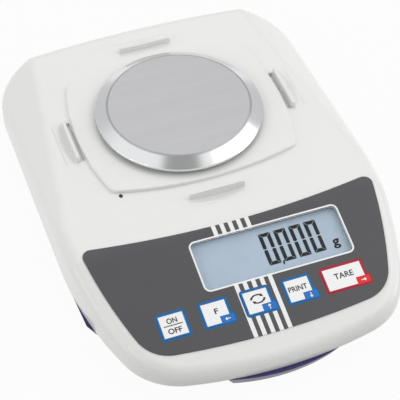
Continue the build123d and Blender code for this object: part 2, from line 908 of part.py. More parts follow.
# Battery block with its two terminals, and the snap-on clip
with BuildPart() as battery_block:
    with BuildSketch(Plane.YZ.offset(battery_x - battery_length / 2)):
        with Locations((battery_y, battery_z)):
            RectangleRounded(battery_width, battery_height, battery_corner_radius)
    extrude(amount=battery_length)
    with BuildSketch(Plane.YZ.offset(battery_x + battery_length / 2)):
        with Locations(*terminal_spots):
            Circle(battery_terminal_radius)
    extrude(amount=battery_terminal)
save(battery_block, "battery_block")

with BuildPart() as battery_clip:
    with BuildSketch(Plane.YZ.offset(battery_x + battery_length / 2 + layer_clearance)):
        with Locations((battery_y, battery_z)):
            RectangleRounded(battery_width - 2 * bay_side_margin, clip_height, battery_corner_radius)
        with Locations(*terminal_spots):
            Circle(battery_terminal_radius + layer_clearance, mode=Mode.SUBTRACT)
    extrude(amount=clip_sheet)
save(battery_clip, "battery_clip")

# Base plate of the load cell, on its bosses
with BuildPart() as base_plate:
    with BuildSketch(Plane((0, load_y, base_plate_bottom))):
        RectangleRounded(base_plate_width, base_plate_length, base_plate_corner_radius)
    extrude(amount=base_plate_sheet)
    with BuildSketch(Plane.XY.offset(base_plate_bottom)):
        with Locations(*base_plate_spots):
            Circle(screw_pass_radius)
        with Locations(*[(0, y) for y in fixed_screw_ys]):
            Circle(cell_screw_radius + cell_screw_clearance)
        with Locations((0, stop_y)):
            Circle(stop_radius + cell_screw_clearance)
    extrude(amount=base_plate_sheet, mode=Mode.SUBTRACT)
save(base_plate, "base_plate")

with BuildPart() as base_plate_screws:
    with Locations(*[(x, y, base_plate_top) for x, y in base_plate_spots]):
        add(
            screw(screw_radius, base_plate_screw_length, screw_head_radius, screw_head),
            rotation=(180, 0, 0),
        )
save(base_plate_screws, "base_plate_screws")

# Load cell between its two blocks. The back end is fixed, the front end carries the bracket.
for block_name, block_ys, block_bottom, block_end in (
    ("cell_block", fixed_screw_ys, base_plate_top, cell_back - cell_pad_length / 2),
    ("bracket_block", free_screw_ys, cell_top, cell_front + cell_pad_length / 2),
):
    with BuildPart() as block:
        with BuildSketch(Plane.XY.offset(block_bottom)):
            with Locations((0, block_end)):
                Rectangle(cell_width, cell_pad_length)
            with Locations(*[(0, y) for y in block_ys]):
                Circle(cell_screw_radius + cell_screw_clearance, mode=Mode.SUBTRACT)
        extrude(amount=cell_pad)
    save(block, block_name)

with BuildPart() as load_cell:
    with BuildSketch(Plane.YZ.offset(-cell_width / 2)):
        with Locations((load_y, cell_middle)):
            Rectangle(cell_length, cell_height)
            Rectangle(cell_bore_spacing, cell_slot, mode=Mode.SUBTRACT)
        with Locations(*[(load_y + side * cell_bore_spacing / 2, cell_middle) for side in (-1, 1)]):
            Circle(cell_bore_radius, mode=Mode.SUBTRACT)
    extrude(amount=cell_width)
    for screw_ys, end_height, depth in (
        (fixed_screw_ys, cell_bottom, cell_screw_depth),
        (free_screw_ys, cell_top, -cell_screw_depth),
    ):
        with BuildSketch(Plane.XY.offset(end_height)):
            with Locations(*[(0, y) for y in screw_ys]):
                Circle(cell_screw_radius + cell_screw_clearance)
        extrude(amount=depth, mode=Mode.SUBTRACT)
save(load_cell, "load_cell")

with BuildPart() as gauge_covers:
    for side in (-1, 1):
        with Locations((0, load_y + side * cell_bore_spacing / 2, cell_top)):
            Box(gauge_cover_width, gauge_cover_length, gauge_cover, align=low_z)
        with Locations((0, load_y + side * cell_bore_spacing / 2, cell_bottom - gauge_cover)):
            Box(gauge_cover_width, gauge_cover_length, gauge_cover, align=low_z)
save(gauge_covers, "gauge_covers")

with BuildPart() as cell_screws:
    with Locations(*[(0, y, base_plate_bottom) for y in fixed_screw_ys]):
        add(screw(cell_screw_radius, fixed_screw_length, cell_screw_head_radius, cell_screw_head))
save(cell_screws, "cell_screws")

with BuildPart() as bracket_screws:
    with Locations(*[(0, y, bracket_top) for y in free_screw_ys]):
        add(
            screw(cell_screw_radius, free_screw_length, cell_screw_head_radius, cell_screw_head),
            rotation=(180, 0, 0),
        )
save(bracket_screws, "bracket_screws")

# Overload stop: a set screw in the base plate with its lock nut
with BuildPart() as overload_stop:
    with BuildSketch(Plane((0, stop_y, base_plate_bottom))):
        Circle(stop_radius)
    extrude(amount=cell_bottom - stop_gap - base_plate_bottom)
    with BuildSketch(Plane((0, stop_y, base_plate_top))):
        RegularPolygon(stop_nut_radius, 6)
    extrude(amount=stop_nut)
save(overload_stop, "overload_stop")

# Bracket with folded sides and the tapered spigot under the plate
with BuildPart() as load_bracket:
    with BuildSketch(Plane.XY.offset(bracket_bottom)):
        with Locations((0, (cell_front + bracket_end_y) / 2)):
            Rectangle(bracket_width, bracket_end_y - cell_front)
        with Locations(*[(0, y) for y in free_screw_ys]):
            Circle(cell_screw_radius + cell_screw_clearance, mode=Mode.SUBTRACT)
    extrude(amount=bracket_sheet)
    with BuildSketch(Plane.XY.offset(bracket_bottom)):
        for side in (-1, 1):
            with Locations((side * (bracket_width - bracket_fold_sheet) / 2, load_y)):
                Rectangle(bracket_fold_sheet, 2 * (bracket_end_y - load_y))
    extrude(amount=-bracket_fold)
    with Locations((0, load_y, bracket_top)):
        Cylinder(spigot_foot_radius, spigot_foot, align=low_z)
    with Locations((0, load_y, spigot_bottom)):
        Cone(spigot_radius, spigot_tip_radius, spigot_length, align=low_z)
save(load_bracket, "load_bracket")

# Plate carrier: a disc whose hub sits on the spigot
with BuildPart() as plate_carrier:
    with BuildSketch(Plane((0, load_y, carrier_bottom))):
        Circle(carrier_radius)
        with PolarLocations(carrier_window_orbit, buffer_count, start_angle=180 / buffer_count):
            Circle(carrier_window_radius, mode=Mode.SUBTRACT)
        with PolarLocations(buffer_orbit, buffer_count):
            Circle(buffer_neck_radius + buffer_hole_clearance, mode=Mode.SUBTRACT)
    extrude(amount=carrier_sheet)
    with Locations((0, load_y, carrier_bottom - carrier_hub_depth)):
        Cylinder(carrier_hub_radius, carrier_hub_depth, align=low_z)
    with Locations((0, load_y, spigot_bottom)):
        Cone(
            spigot_radius + cone_clearance,
            spigot_tip_radius + cone_clearance,
            spigot_length,
            align=low_z,
            mode=Mode.SUBTRACT,
        )
    with Locations((0, load_y, spigot_top)):
        Cylinder(
            spigot_tip_radius + cone_clearance, cone_tip_room, align=low_z, mode=Mode.SUBTRACT
        )
save(plate_carrier, "plate_carrier")

with BuildPart() as plate_buffers:
    for bottom, height, radius in (
        (carrier_top, plate_under - carrier_top, buffer_flange_radius),
        (carrier_bottom - buffer_tail, carrier_sheet + buffer_tail, buffer_neck_radius),
    ):
        with BuildSketch(Plane((0, load_y, bottom))):
            with PolarLocations(buffer_orbit, buffer_count):
                Circle(radius)
                Circle(stud_radius + stud_clearance, mode=Mode.SUBTRACT)
        extrude(amount=height)
save(plate_buffers, "plate_buffers")

# Weighing plate: a pressed sheet with a sloping rim, and the studs under it
with BuildPart() as weighing_plate:
    bevel = math.atan2(plate_top_rise - plate_rim_rise, plate_radius - plate_top_radius)
    top_knee = (plate_top_radius, plate_top)
    rim_knee = (plate_radius, deck_height + plate_rim_rise)
    rim_bottom = rim_knee[1] - plate_rim_drop
    inner_rim_z = rim_knee[1] - plate_sheet * math.tan(math.pi / 4 - bevel / 2)
    with BuildSketch(Plane.XZ.offset(-load_y)) as plate_profile:
        with BuildLine():
            Polyline(
                (0, plate_top),
                top_knee,
                rim_knee,
                (plate_radius, rim_bottom),
                (plate_radius - plate_sheet, rim_bottom),
                (plate_radius - plate_sheet, inner_rim_z),
                (plate_top_radius - plate_sheet * math.tan(bevel / 2), plate_under),
                (0, plate_under),
                close=True,
            )
        make_face()
        fillet(plate_profile.vertices().sort_by_distance(top_knee)[0], plate_top_edge_radius)
        fillet(plate_profile.vertices().sort_by_distance(rim_knee)[0], plate_rim_edge_radius)
    revolve(axis=Axis((0, load_y, 0), (0, 0, 1)))
save(weighing_plate, "weighing_plate")

with BuildPart() as plate_studs:
    with BuildSketch(Plane((0, load_y, plate_under - stud_length))):
        with PolarLocations(buffer_orbit, buffer_count):
            Circle(stud_radius)
    extrude(amount=stud_length)
save(plate_studs, "plate_studs")

# Keypad foil, bent over the crease of the panel
with BuildPart() as keypad_foil:
    crease_reach = panel_crease_radius * math.tan(slope / 2)
    bend = (crease_y + crease_reach, deck_height - panel_crease_radius)
    back_end = bend[0] + foil_corner_v
    foot_under = on_panel(foil_bottom_v - foil_sheet, 0)
    foot_over = on_panel(foil_bottom_v - foil_sheet, foil_sheet)
    with BuildSketch(Plane.YZ):
        with BuildLine():
            under = CenterArc(bend, panel_crease_radius, 90, panel_tilt)
            over = CenterArc(bend, panel_crease_radius + foil_sheet, 90, panel_tilt)
            Polyline(under @ 0, (back_end, deck_height), (back_end, deck_height + foil_sheet), over @ 0)
            Polyline(under @ 1, foot_under, foot_over, over @ 1)
        make_face()
    extrude(amount=half_width, both=True)
    with BuildSketch(panel):
        add(keypad_outline())
    extrude(amount=wall, both=True, mode=Mode.INTERSECT)
    with BuildSketch(panel):
        for name in key_spots:
            add(key_outline(name, key_gap))
        add(window_outline(0))
    extrude(amount=wall, both=True, mode=Mode.SUBTRACT)
save(keypad_foil, "keypad_foil")

# Keys, in the cut-outs of the foil
for name in key_spots:
    with BuildPart() as key:
        with BuildSketch(panel.offset(foil_sheet + key_rise - key_sheet)):
            add(key_outline(name, 0))
        extrude(amount=key_sheet)
        fillet(key.faces().filter_by(panel).sort_by(Axis.Z)[-1].edges(), key_edge_radius)
    save(key, name)

# Switch layers under the keys: circuit, spacer and domes
with BuildPart() as switch_circuit:
    with BuildSketch(panel.offset(-switch_recess)):
        add(switch_outline(-layer_clearance))
    extrude(amount=circuit_sheet)
save(switch_circuit, "switch_circuit")

with BuildPart() as switch_spacer:
    with BuildSketch(panel.offset(circuit_sheet - switch_recess)):
        add(switch_outline(-layer_clearance))
        for name in key_spots:
            add(key_outline(name, key_gap), mode=Mode.SUBTRACT)
    extrude(amount=switch_recess - circuit_sheet)
save(switch_spacer, "switch_spacer")

with BuildPart() as switch_domes:
    dome_taper = math.degrees(math.atan2(dome_edge_width, dome_rise))
    for x, width in key_spots.values():
        dome_plane = panel.offset(circuit_sheet - switch_recess)
        with BuildSketch(Plane(dome_plane.from_local_coords((x, key_v, 0)), (1, 0, 0), dome_plane.z_dir)):
            Circle(dome_radius)
        extrude(amount=dome_rise, taper=dome_taper)
save(switch_domes, "switch_domes")

# Display, from the pane down to its board
with BuildPart() as display_pane:
    with BuildSketch(panel.offset(-window_pane)):
        add(window_outline(window_pane_margin))
    extrude(amount=window_pane)
save(display_pane, "display_pane")

with BuildPart() as display_gasket:
    with BuildSketch(panel.offset(-wall - gasket_sheet)):
        add(window_outline(opening_margin + gasket_width))
        add(window_outline(opening_margin), mode=Mode.SUBTRACT)
    extrude(amount=gasket_sheet)
save(display_gasket, "display_gasket")

with BuildPart() as display_glass:
    with BuildSketch(panel.offset(-wall - gasket_sheet - glass_sheet)):
        add(window_outline(glass_margin))
    extrude(amount=glass_sheet)
save(display_glass, "display_glass")

with BuildPart() as display_backlight:
    with BuildSketch(panel.offset(board_top_n)):
        add(window_outline(glass_margin))
    extrude(amount=backlight_sheet)
save(display_backlight, "display_backlight")

with BuildPart() as display_board:
    with BuildSketch(panel.offset(board_top_n - board_sheet)):
        with Locations((window_x, window_v)):
            Rectangle(display_board_width, display_board_height)
        with Locations(*display_post_spots):
            Circle(small_screw_radius + board_hole_clearance, mode=Mode.SUBTRACT)
    extrude(amount=board_sheet)
save(display_board, "display_board")

with BuildPart() as display_screws:
    for x, v in display_post_spots:
        spot = panel.offset(board_top_n - board_sheet).from_local_coords((x, v, 0))
        with Locations(Plane(spot, (1, 0, 0), panel.z_dir)):
            add(screw(small_screw_radius, small_screw_length, small_screw_head_radius, small_screw_head))
save(display_screws, "display_screws")

# Main board with its parts, and the port board at the back
for board_name, centre, size, bottom, spots in (
    ("main_board", (main_board_x, main_board_y), (main_board_width, main_board_depth),
     main_board_bottom, main_board_spots),
    ("port_board", (port_board_x, port_board_y), (port_board_width, port_board_depth),
     port_board_height, port_board_spots),
):
    with BuildPart() as board:
        with BuildSketch(Plane.XY.offset(bottom)):
            with Locations(centre):
                Rectangle(*size)
            with Locations(*spots):
                Circle(small_screw_radius + board_hole_clearance, mode=Mode.SUBTRACT)
        extrude(amount=board_sheet)
    save(board, board_name)

with BuildPart() as board_screws:
    tops = [(x, y, main_board_top) for x, y in main_board_spots]
    tops += [(x, y, port_board_top) for x, y in port_board_spots]
    with Locations(*tops):
        add(
            screw(small_screw_radius, small_screw_length, small_screw_head_radius, small_screw_head),
            rotation=(180, 0, 0),
        )
save(board_screws, "board_screws")

# Sockets in the back wall
with BuildPart() as mains_inlet:
    with Locations((inlet_x, inlet_back_y - inlet_depth / 2, port_board_top)):
        Box(inlet_width, inlet_depth, inlet_height, align=low_z)
    with BuildSketch(Plane(origin=(inlet_x, inlet_back_y, inlet_z), x_dir=(1, 0, 0), z_dir=(0, 1, 0))):
        Circle(inlet_nose_radius)
    extrude(amount=inlet_end_y - inlet_back_y)
    with BuildSketch(Plane(origin=(inlet_x, inlet_end_y, inlet_z), x_dir=(1, 0, 0), z_dir=(0, 1, 0))):
        Circle(inlet_bore_radius)
        Circle(inlet_pin_radius, mode=Mode.SUBTRACT)
    extrude(amount=-inlet_bore_depth, mode=Mode.SUBTRACT)
save(mains_inlet, "mains_inlet")

with BuildPart() as data_port:
    face = Plane(origin=(port_x, port_flange_y, port_z), x_dir=(1, 0, 0), z_dir=(0, -1, 0))
    screw_spots = [(side * port_screw_spacing / 2, 0) for side in (-1, 1)]
    with BuildSketch(face):
        RectangleRounded(port_flange_width, port_flange_height, port_flange_corner)
    extrude(amount=port_flange_sheet)
    with BuildSketch(face.offset(port_flange_sheet)):
        with Locations((0, (port_body_top - port_centre_lift) / 2)):
            Rectangle(port_body_width, port_body_top + port_centre_lift)
    extrude(amount=port_body_depth)
    with BuildSketch(face):
        RectangleRounded(port_shell_width, port_shell_height, port_shell_corner)
        with Locations(*screw_spots):
            RegularPolygon(port_screw_radius, 6)
    extrude(amount=port_flange_y - port_end_y)
    with BuildSketch(face.offset(port_flange_y - port_end_y)):
        for row, count in ((-1, 4), (1, 5)):
            with Locations((0, row * port_pin_row / 2)):
                with GridLocations(port_pin_pitch, 1, count, 1):
                    Circle(port_pin_radius)
    extrude(amount=port_pin_depth, mode=Mode.SUBTRACT)
save(data_port, "data_port")
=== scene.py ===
import bpy
import bmesh
import math
from mathutils import Matrix, Vector


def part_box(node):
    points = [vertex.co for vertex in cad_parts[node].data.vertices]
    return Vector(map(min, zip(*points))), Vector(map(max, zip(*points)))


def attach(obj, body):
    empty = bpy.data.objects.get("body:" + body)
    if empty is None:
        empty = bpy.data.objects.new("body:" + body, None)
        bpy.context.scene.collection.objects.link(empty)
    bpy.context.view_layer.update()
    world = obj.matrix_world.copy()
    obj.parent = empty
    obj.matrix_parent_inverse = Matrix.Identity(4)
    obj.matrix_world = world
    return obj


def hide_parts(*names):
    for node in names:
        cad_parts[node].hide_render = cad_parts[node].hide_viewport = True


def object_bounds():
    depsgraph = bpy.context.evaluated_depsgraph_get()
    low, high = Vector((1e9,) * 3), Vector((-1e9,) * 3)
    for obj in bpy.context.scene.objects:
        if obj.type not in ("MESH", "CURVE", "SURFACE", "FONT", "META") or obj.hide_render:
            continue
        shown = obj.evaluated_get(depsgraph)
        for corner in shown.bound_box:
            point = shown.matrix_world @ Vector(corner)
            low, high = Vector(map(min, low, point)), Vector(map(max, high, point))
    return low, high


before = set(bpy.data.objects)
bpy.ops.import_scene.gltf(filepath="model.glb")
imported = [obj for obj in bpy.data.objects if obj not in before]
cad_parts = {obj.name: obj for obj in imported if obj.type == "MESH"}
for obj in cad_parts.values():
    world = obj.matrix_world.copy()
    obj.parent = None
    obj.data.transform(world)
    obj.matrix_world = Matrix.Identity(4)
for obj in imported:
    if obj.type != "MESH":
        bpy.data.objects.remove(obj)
cadLow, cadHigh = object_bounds()
print("frame loaded with", len(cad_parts), "CAD nodes")

mm = 0.001

# The sloping panel, read off the window pane: v runs up the slope from its crease, n stands out
panel = {"tilt": 14.0, "paneTop": -6.1, "paneSheet": 0.5, "paneMargin": 2.2, "foilTop": 0.5, "keyTop": 0.75}
panelSin = math.sin(math.radians(panel["tilt"]))
panelCos = math.cos(math.radians(panel["tilt"]))
paneLow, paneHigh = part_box("display_pane")
creaseY = paneHigh.y / mm - panel["paneTop"] * panelCos - panel["paneSheet"] * panelSin
creaseZ = paneHigh.z / mm - panel["paneTop"] * panelSin
panelMatrix = Matrix((
    (mm, 0, 0, 0),
    (0, mm * panelCos, -mm * panelSin, mm * creaseY),
    (0, mm * panelSin, mm * panelCos, mm * creaseZ),
    (0, 0, 0, 1),
))

plateLow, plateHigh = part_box("weighing_plate")
plateX = (plateLow.x + plateHigh.x) / 2
plateY = (plateLow.y + plateHigh.y) / 2
plateRadius = (plateHigh.x - plateLow.x) / 2


def paint(red, green, blue):
    # a colour as it looks on screen, 0 to 255, turned into Blender's linear colour
    def linear(part):
        part = part / 255
        return part / 12.92 if part <= 0.04045 else ((part + 0.055) / 1.055) ** 2.4
    return (linear(red), linear(green), linear(blue), 1.0)


def addObject(name, data):
    thing = bpy.data.objects.new(name, data)
    bpy.context.scene.collection.objects.link(thing)
    return thing


# Camera, at the photograph's angle. It aims past the middle of the plate on the deck
cameraView = {
    "azimuth": -20.31, "elevation": 48.03, "roll": 0.45,
    "lens": 131.96, "sensor": 36.0, "near": 0.01, "distance": 919.2, "aside": -13.135, "above": 52.8,
}


def makeCamera():
    look = cameraView
    azimuth = math.radians(look["azimuth"])
    elevation = math.radians(look["elevation"])
    roll = math.radians(look["roll"])
    back = Vector((
        math.sin(azimuth) * math.cos(elevation),
        -math.cos(azimuth) * math.cos(elevation),
        math.sin(elevation),
    ))
    level = Vector((math.cos(azimuth), math.sin(azimuth), 0))
    upright = back.cross(level)
    right = level * math.cos(roll) + upright * math.sin(roll)
    up = upright * math.cos(roll) - level * math.sin(roll)
    offset = back * look["distance"] - right * look["aside"] - up * look["above"]
    place = Vector((plateX, plateY, creaseZ * mm)) + offset * mm
    camera = addObject("camera", bpy.data.cameras.new("camera"))
    camera.data.lens = look["lens"]
    camera.data.sensor_width = look["sensor"]
    camera.data.clip_start = look["near"]
    camera.matrix_world = Matrix.Translation(place) @ Matrix((right, up, back)).transposed().to_4x4()
    bpy.context.scene.camera = camera


makeCamera()


# Shared effects, as node groups
def newGroup(name, inputs, outputs):
    group = bpy.data.node_groups.new(name, "ShaderNodeTree")
    for label, value in inputs.items():
        socket = group.interface.new_socket(name=label, in_out="INPUT", socket_type="NodeSocketFloat")
        socket.default_value = value
    for label in outputs:
        kind = "NodeSocketVector" if label == "Normal" else "NodeSocketFloat"
        group.interface.new_socket(name=label, in_out="OUTPUT", socket_type=kind)
    start = group.nodes.new("NodeGroupInput")
    end = group.nodes.new("NodeGroupOutput")
    return group, start, end


def feed(tree, value, socket):
    # value is another node's socket, or a plain number or colour
    if isinstance(value, (int, float, tuple)):
        socket.default_value = value
    elif value is not None:
        tree.links.new(value, socket)


def reckon(tree, operation, first, second=None, third=None, clamp=False):
    node = tree.nodes.new("ShaderNodeMath")
    node.operation = operation
    node.use_clamp = clamp
    for socket, value in zip(node.inputs, (first, second, third)):
        feed(tree, value, socket)
    return node.outputs[0]


def reckonVector(tree, operation, first, second=None):
    node = tree.nodes.new("ShaderNodeVectorMath")
    node.operation = operation
    feed(tree, first, node.inputs[0])
    feed(tree, second, node.inputs[1])
    return node.outputs["Value" if operation in ("LENGTH", "DOT_PRODUCT") else "Vector"]


def objectPlace(tree):
    return tree.nodes.new("ShaderNodeTexCoord").outputs["Object"]


def noise(tree, place, scale, detail=2.0, roughness=0.5, stretch=None):
    node = tree.nodes.new("ShaderNodeTexNoise")
    if stretch:
        mapping = tree.nodes.new("ShaderNodeMapping")
        feed(tree, stretch, mapping.inputs["Scale"])
        feed(tree, place, mapping.inputs["Vector"])
        place = mapping.outputs["Vector"]
    labels = ("Vector", "Scale", "Detail", "Roughness")
    for label, value in zip(labels, (place, scale, detail, roughness)):
        feed(tree, value, node.inputs[label])
    return node.outputs["Fac"]


def spread(tree, value, fromLow, fromHigh, toLow, toHigh):
    # eases a number from one range into another
    node = tree.nodes.new("ShaderNodeMapRange")
    node.clamp = True
    node.interpolation_type = "SMOOTHSTEP"
    labels = ("Value", "From Min", "From Max", "To Min", "To Max")
    for label, number in zip(labels, (value, fromLow, fromHigh, toLow, toHigh)):
        feed(tree, number, node.inputs[label])
    return node.outputs["Result"]


grainLook = {
    "fine": {"detail": 3.0, "roughness": 0.6},
    "slow": {"scale": 22.0, "detail": 3.0, "roughness": 0.55},
}


def makeMouldGrain():
    # spark-eroded skin of moulded plastic: fine grain for the bump, slow mottle for the colour
    inputs = {"Scale": 1500, "Mottle": 0.03}
    group, start, end = newGroup("mouldGrain", inputs, ("Height", "Shade", "Matt"))
    place = objectPlace(group)
    fine = noise(group, place, start.outputs["Scale"], **grainLook["fine"])
    slow = noise(group, place, **grainLook["slow"])
    aside = reckon(group, "SUBTRACT", slow, 0.5)
    shade = reckon(group, "MULTIPLY_ADD", aside, start.outputs["Mottle"], 1.0)
    feed(group, fine, end.inputs["Height"])
    feed(group, shade, end.inputs["Shade"])
    feed(group, aside, end.inputs["Matt"])
    return group


edgeLook = {
    "radius": 0.5, "samples": 6, "turn": (0.995, 0.85, 0.0, 1.0),
    "patches": {"scale": 240.0, "detail": 4.0}, "patchSpread": (0.35, 0.7, 0.25, 1.0),
}


def makeEdgeWear():
    # rounds what the light sees at an edge and puts a mask on the edge itself
    look = edgeLook
    group, start, end = newGroup("edgeWear", {"Rub": 1.0}, ("Mask", "Normal"))
    bevel = group.nodes.new("ShaderNodeBevel")
    bevel.samples = look["samples"]
    bevel.inputs["Radius"].default_value = look["radius"] * mm
    geometry = group.nodes.new("ShaderNodeNewGeometry")
    agreement = reckonVector(group, "DOT_PRODUCT", bevel.outputs["Normal"], geometry.outputs["Normal"])
    turned = spread(group, agreement, *look["turn"])
    patchy = spread(group, noise(group, objectPlace(group), **look["patches"]), *look["patchSpread"])
    worn = reckon(group, "MULTIPLY", turned, patchy)
    mask = reckon(group, "MULTIPLY", worn, start.outputs["Rub"], clamp=True)
    feed(group, mask, end.inputs["Mask"])
    feed(group, bevel.outputs["Normal"], end.inputs["Normal"])
    return group


dustLook = {
    "level": (0.2, 0.95, 0.0, 1.0),
    "clouds": {"scale": 60.0, "detail": 5.0, "roughness": 0.65}, "cloudSpread": (0.4, 0.75, 0.1, 1.0),
}


def makeDustFilm():
    # thin dust on faces that look up, thicker where the slow noise is high
    group, start, end = newGroup("dustFilm", {"Amount": 0.05}, ("Mask",))
    geometry = group.nodes.new("ShaderNodeNewGeometry")
    split = group.nodes.new("ShaderNodeSeparateXYZ")
    feed(group, geometry.outputs["Normal"], split.inputs[0])
    up = spread(group, split.outputs["Z"], *dustLook["level"])
    cloud = spread(group, noise(group, objectPlace(group), **dustLook["clouds"]), *dustLook["cloudSpread"])
    lying = reckon(group, "MULTIPLY", up, cloud)
    mask = reckon(group, "MULTIPLY", lying, start.outputs["Amount"], clamp=True)
    feed(group, mask, end.inputs["Mask"])
    return group


brushLook = {
    "fine": {"detail": 3.0, "roughness": 0.7, "stretch": (0.02, 1.0, 1.0)},
    "broad": {"scale": 160.0, "detail": 2.0, "roughness": 0.5, "stretch": (0.03, 1.0, 1.0)},
    "shade": (0.3, 0.7, 0.98, 1.01),
}


def makeBrushedLines():
    # fine straight scratches along x, as a belt leaves them, for height and roughness
    group, start, end = newGroup("brushedLines", {"Density": 900}, ("Lines", "Shade"))
    place = objectPlace(group)
    fine = noise(group, place, start.outputs["Density"], **brushLook["fine"])
    shade = spread(group, noise(group, place, **brushLook["broad"]), *brushLook["shade"])
    feed(group, fine, end.inputs["Lines"])
    feed(group, shade, end.inputs["Shade"])
    return group


inkLook = {"cover": {"scale": 900.0, "detail": 2.0}, "screen": {"scale": 4200.0, "detail": 1.0}}


def makeInkLayer():
    # printed ink: slightly uneven cover and a faint screen texture
    group, start, end = newGroup("inkLayer", {"Unevenness": 0.05}, ("Shade", "Height"))
    place = objectPlace(group)
    aside = reckon(group, "SUBTRACT", noise(group, place, **inkLook["cover"]), 0.5)
    shade = reckon(group, "MULTIPLY_ADD", aside, start.outputs["Unevenness"], 1.0)
    feed(group, shade, end.inputs["Shade"])
    feed(group, noise(group, place, **inkLook["screen"]), end.inputs["Height"])
    return group


makers = (makeMouldGrain, makeEdgeWear, makeDustFilm, makeBrushedLines, makeInkLayer)
groups = {group.name: group for group in (make() for make in makers)}
print("node groups built:", len(groups))


# Materials
def newMaterial(name, roughness, metallic=0.0):
    material = bpy.data.materials.new(name)
    material.use_nodes = True
    tree = material.node_tree
    shader = tree.nodes["Principled BSDF"]
    shader.inputs["Roughness"].default_value = roughness
    shader.inputs["Metallic"].default_value = metallic
    return material, tree, shader


def effect(tree, name, **values):
    node = tree.nodes.new("ShaderNodeGroup")
    node.node_tree = groups[name]
    for label, value in values.items():
        node.inputs[label].default_value = value
    return node.outputs


def blendColour(tree, mask, first, second):
    node = tree.nodes.new("ShaderNodeMix")
    node.data_type = "RGBA"
    for label, value in zip(("Factor", "A", "B"), (mask, first, second)):
        feed(tree, value, node.inputs[label])
    return [socket for socket in node.outputs if socket.type == "RGBA"][0]


def shadeColour(tree, colour, shade):
    node = tree.nodes.new("ShaderNodeVectorMath")
    node.operation = "SCALE"
    feed(tree, colour[:3] if isinstance(colour, tuple) else colour, node.inputs[0])
    feed(tree, shade, node.inputs["Scale"])
    return node.outputs["Vector"]


def bump(tree, shader, height, distance, normal=None):
    node = tree.nodes.new("ShaderNodeBump")
    node.inputs["Distance"].default_value = distance
    feed(tree, height, node.inputs["Height"])
    feed(tree, normal, node.inputs["Normal"])
    feed(tree, node.outputs["Normal"], shader.inputs["Normal"])


def weathered(tree, shader, look, colour, height):
    # rubbed edges, dust where the look has it, and the height as a bump
    edge = effect(tree, "edgeWear", Rub=look["rub"])
    colour = blendColour(tree, edge["Mask"], colour, paint(*look["rubbed"]))
    if "dust" in look:
        dust = effect(tree, "dustFilm", Amount=look["dust"])
        colour = blendColour(tree, dust["Mask"], colour, paint(*look["dustColour"]))
    feed(tree, colour, shader.inputs["Base Color"])
    bump(tree, shader, height, look["depth"] * mm, edge["Normal"])


def grained(tree, look):
    grain = effect(tree, "mouldGrain", Scale=look["grain"], Mottle=look["mottle"])
    return grain, shadeColour(tree, paint(*look["colour"]), grain["Shade"])


def moulded(name, ownLook):
    # plastic, rubber, board and film: grain, mottle, rubbed edges and a little dust
    look = {**plasticLook, **ownLook}
    material, tree, shader = newMaterial(name, look["roughness"])
    grain, colour = grained(tree, look)
    weathered(tree, shader, look, colour, grain["Height"])
    matt = reckon(tree, "MULTIPLY_ADD", grain["Matt"], look["mattSwing"], look["roughness"])
    feed(tree, matt, shader.inputs["Roughness"])
    shader.inputs["Coat Weight"].default_value = look["coat"]
    shader.inputs["Coat Roughness"].default_value = look["coatRoughness"]
    return material


metalLook = {
    "lineSwing": 0.14, "smoother": 0.11, "spotSwing": 0.08,
    "spots": {"scale": 45.0, "detail": 4.0, "roughness": 0.6},
}


def metal(name, look):
    # bare metal: brushed lines, brighter rubbed edges, dull spots
    material, tree, shader = newMaterial(name, look["roughness"], 1.0)
    lines = effect(tree, "brushedLines", Density=look["density"])
    colour = shadeColour(tree, paint(*look["colour"]), lines["Shade"])
    weathered(tree, shader, look, colour, lines["Lines"])
    smoothest = look["roughness"] - metalLook["smoother"]
    swing = reckon(tree, "MULTIPLY_ADD", lines["Lines"], metalLook["lineSwing"], smoothest)
    dull = noise(tree, objectPlace(tree), **metalLook["spots"])
    matt = reckon(tree, "MULTIPLY_ADD", dull, metalLook["spotSwing"], swing)
    feed(tree, matt, shader.inputs["Roughness"])
    return material


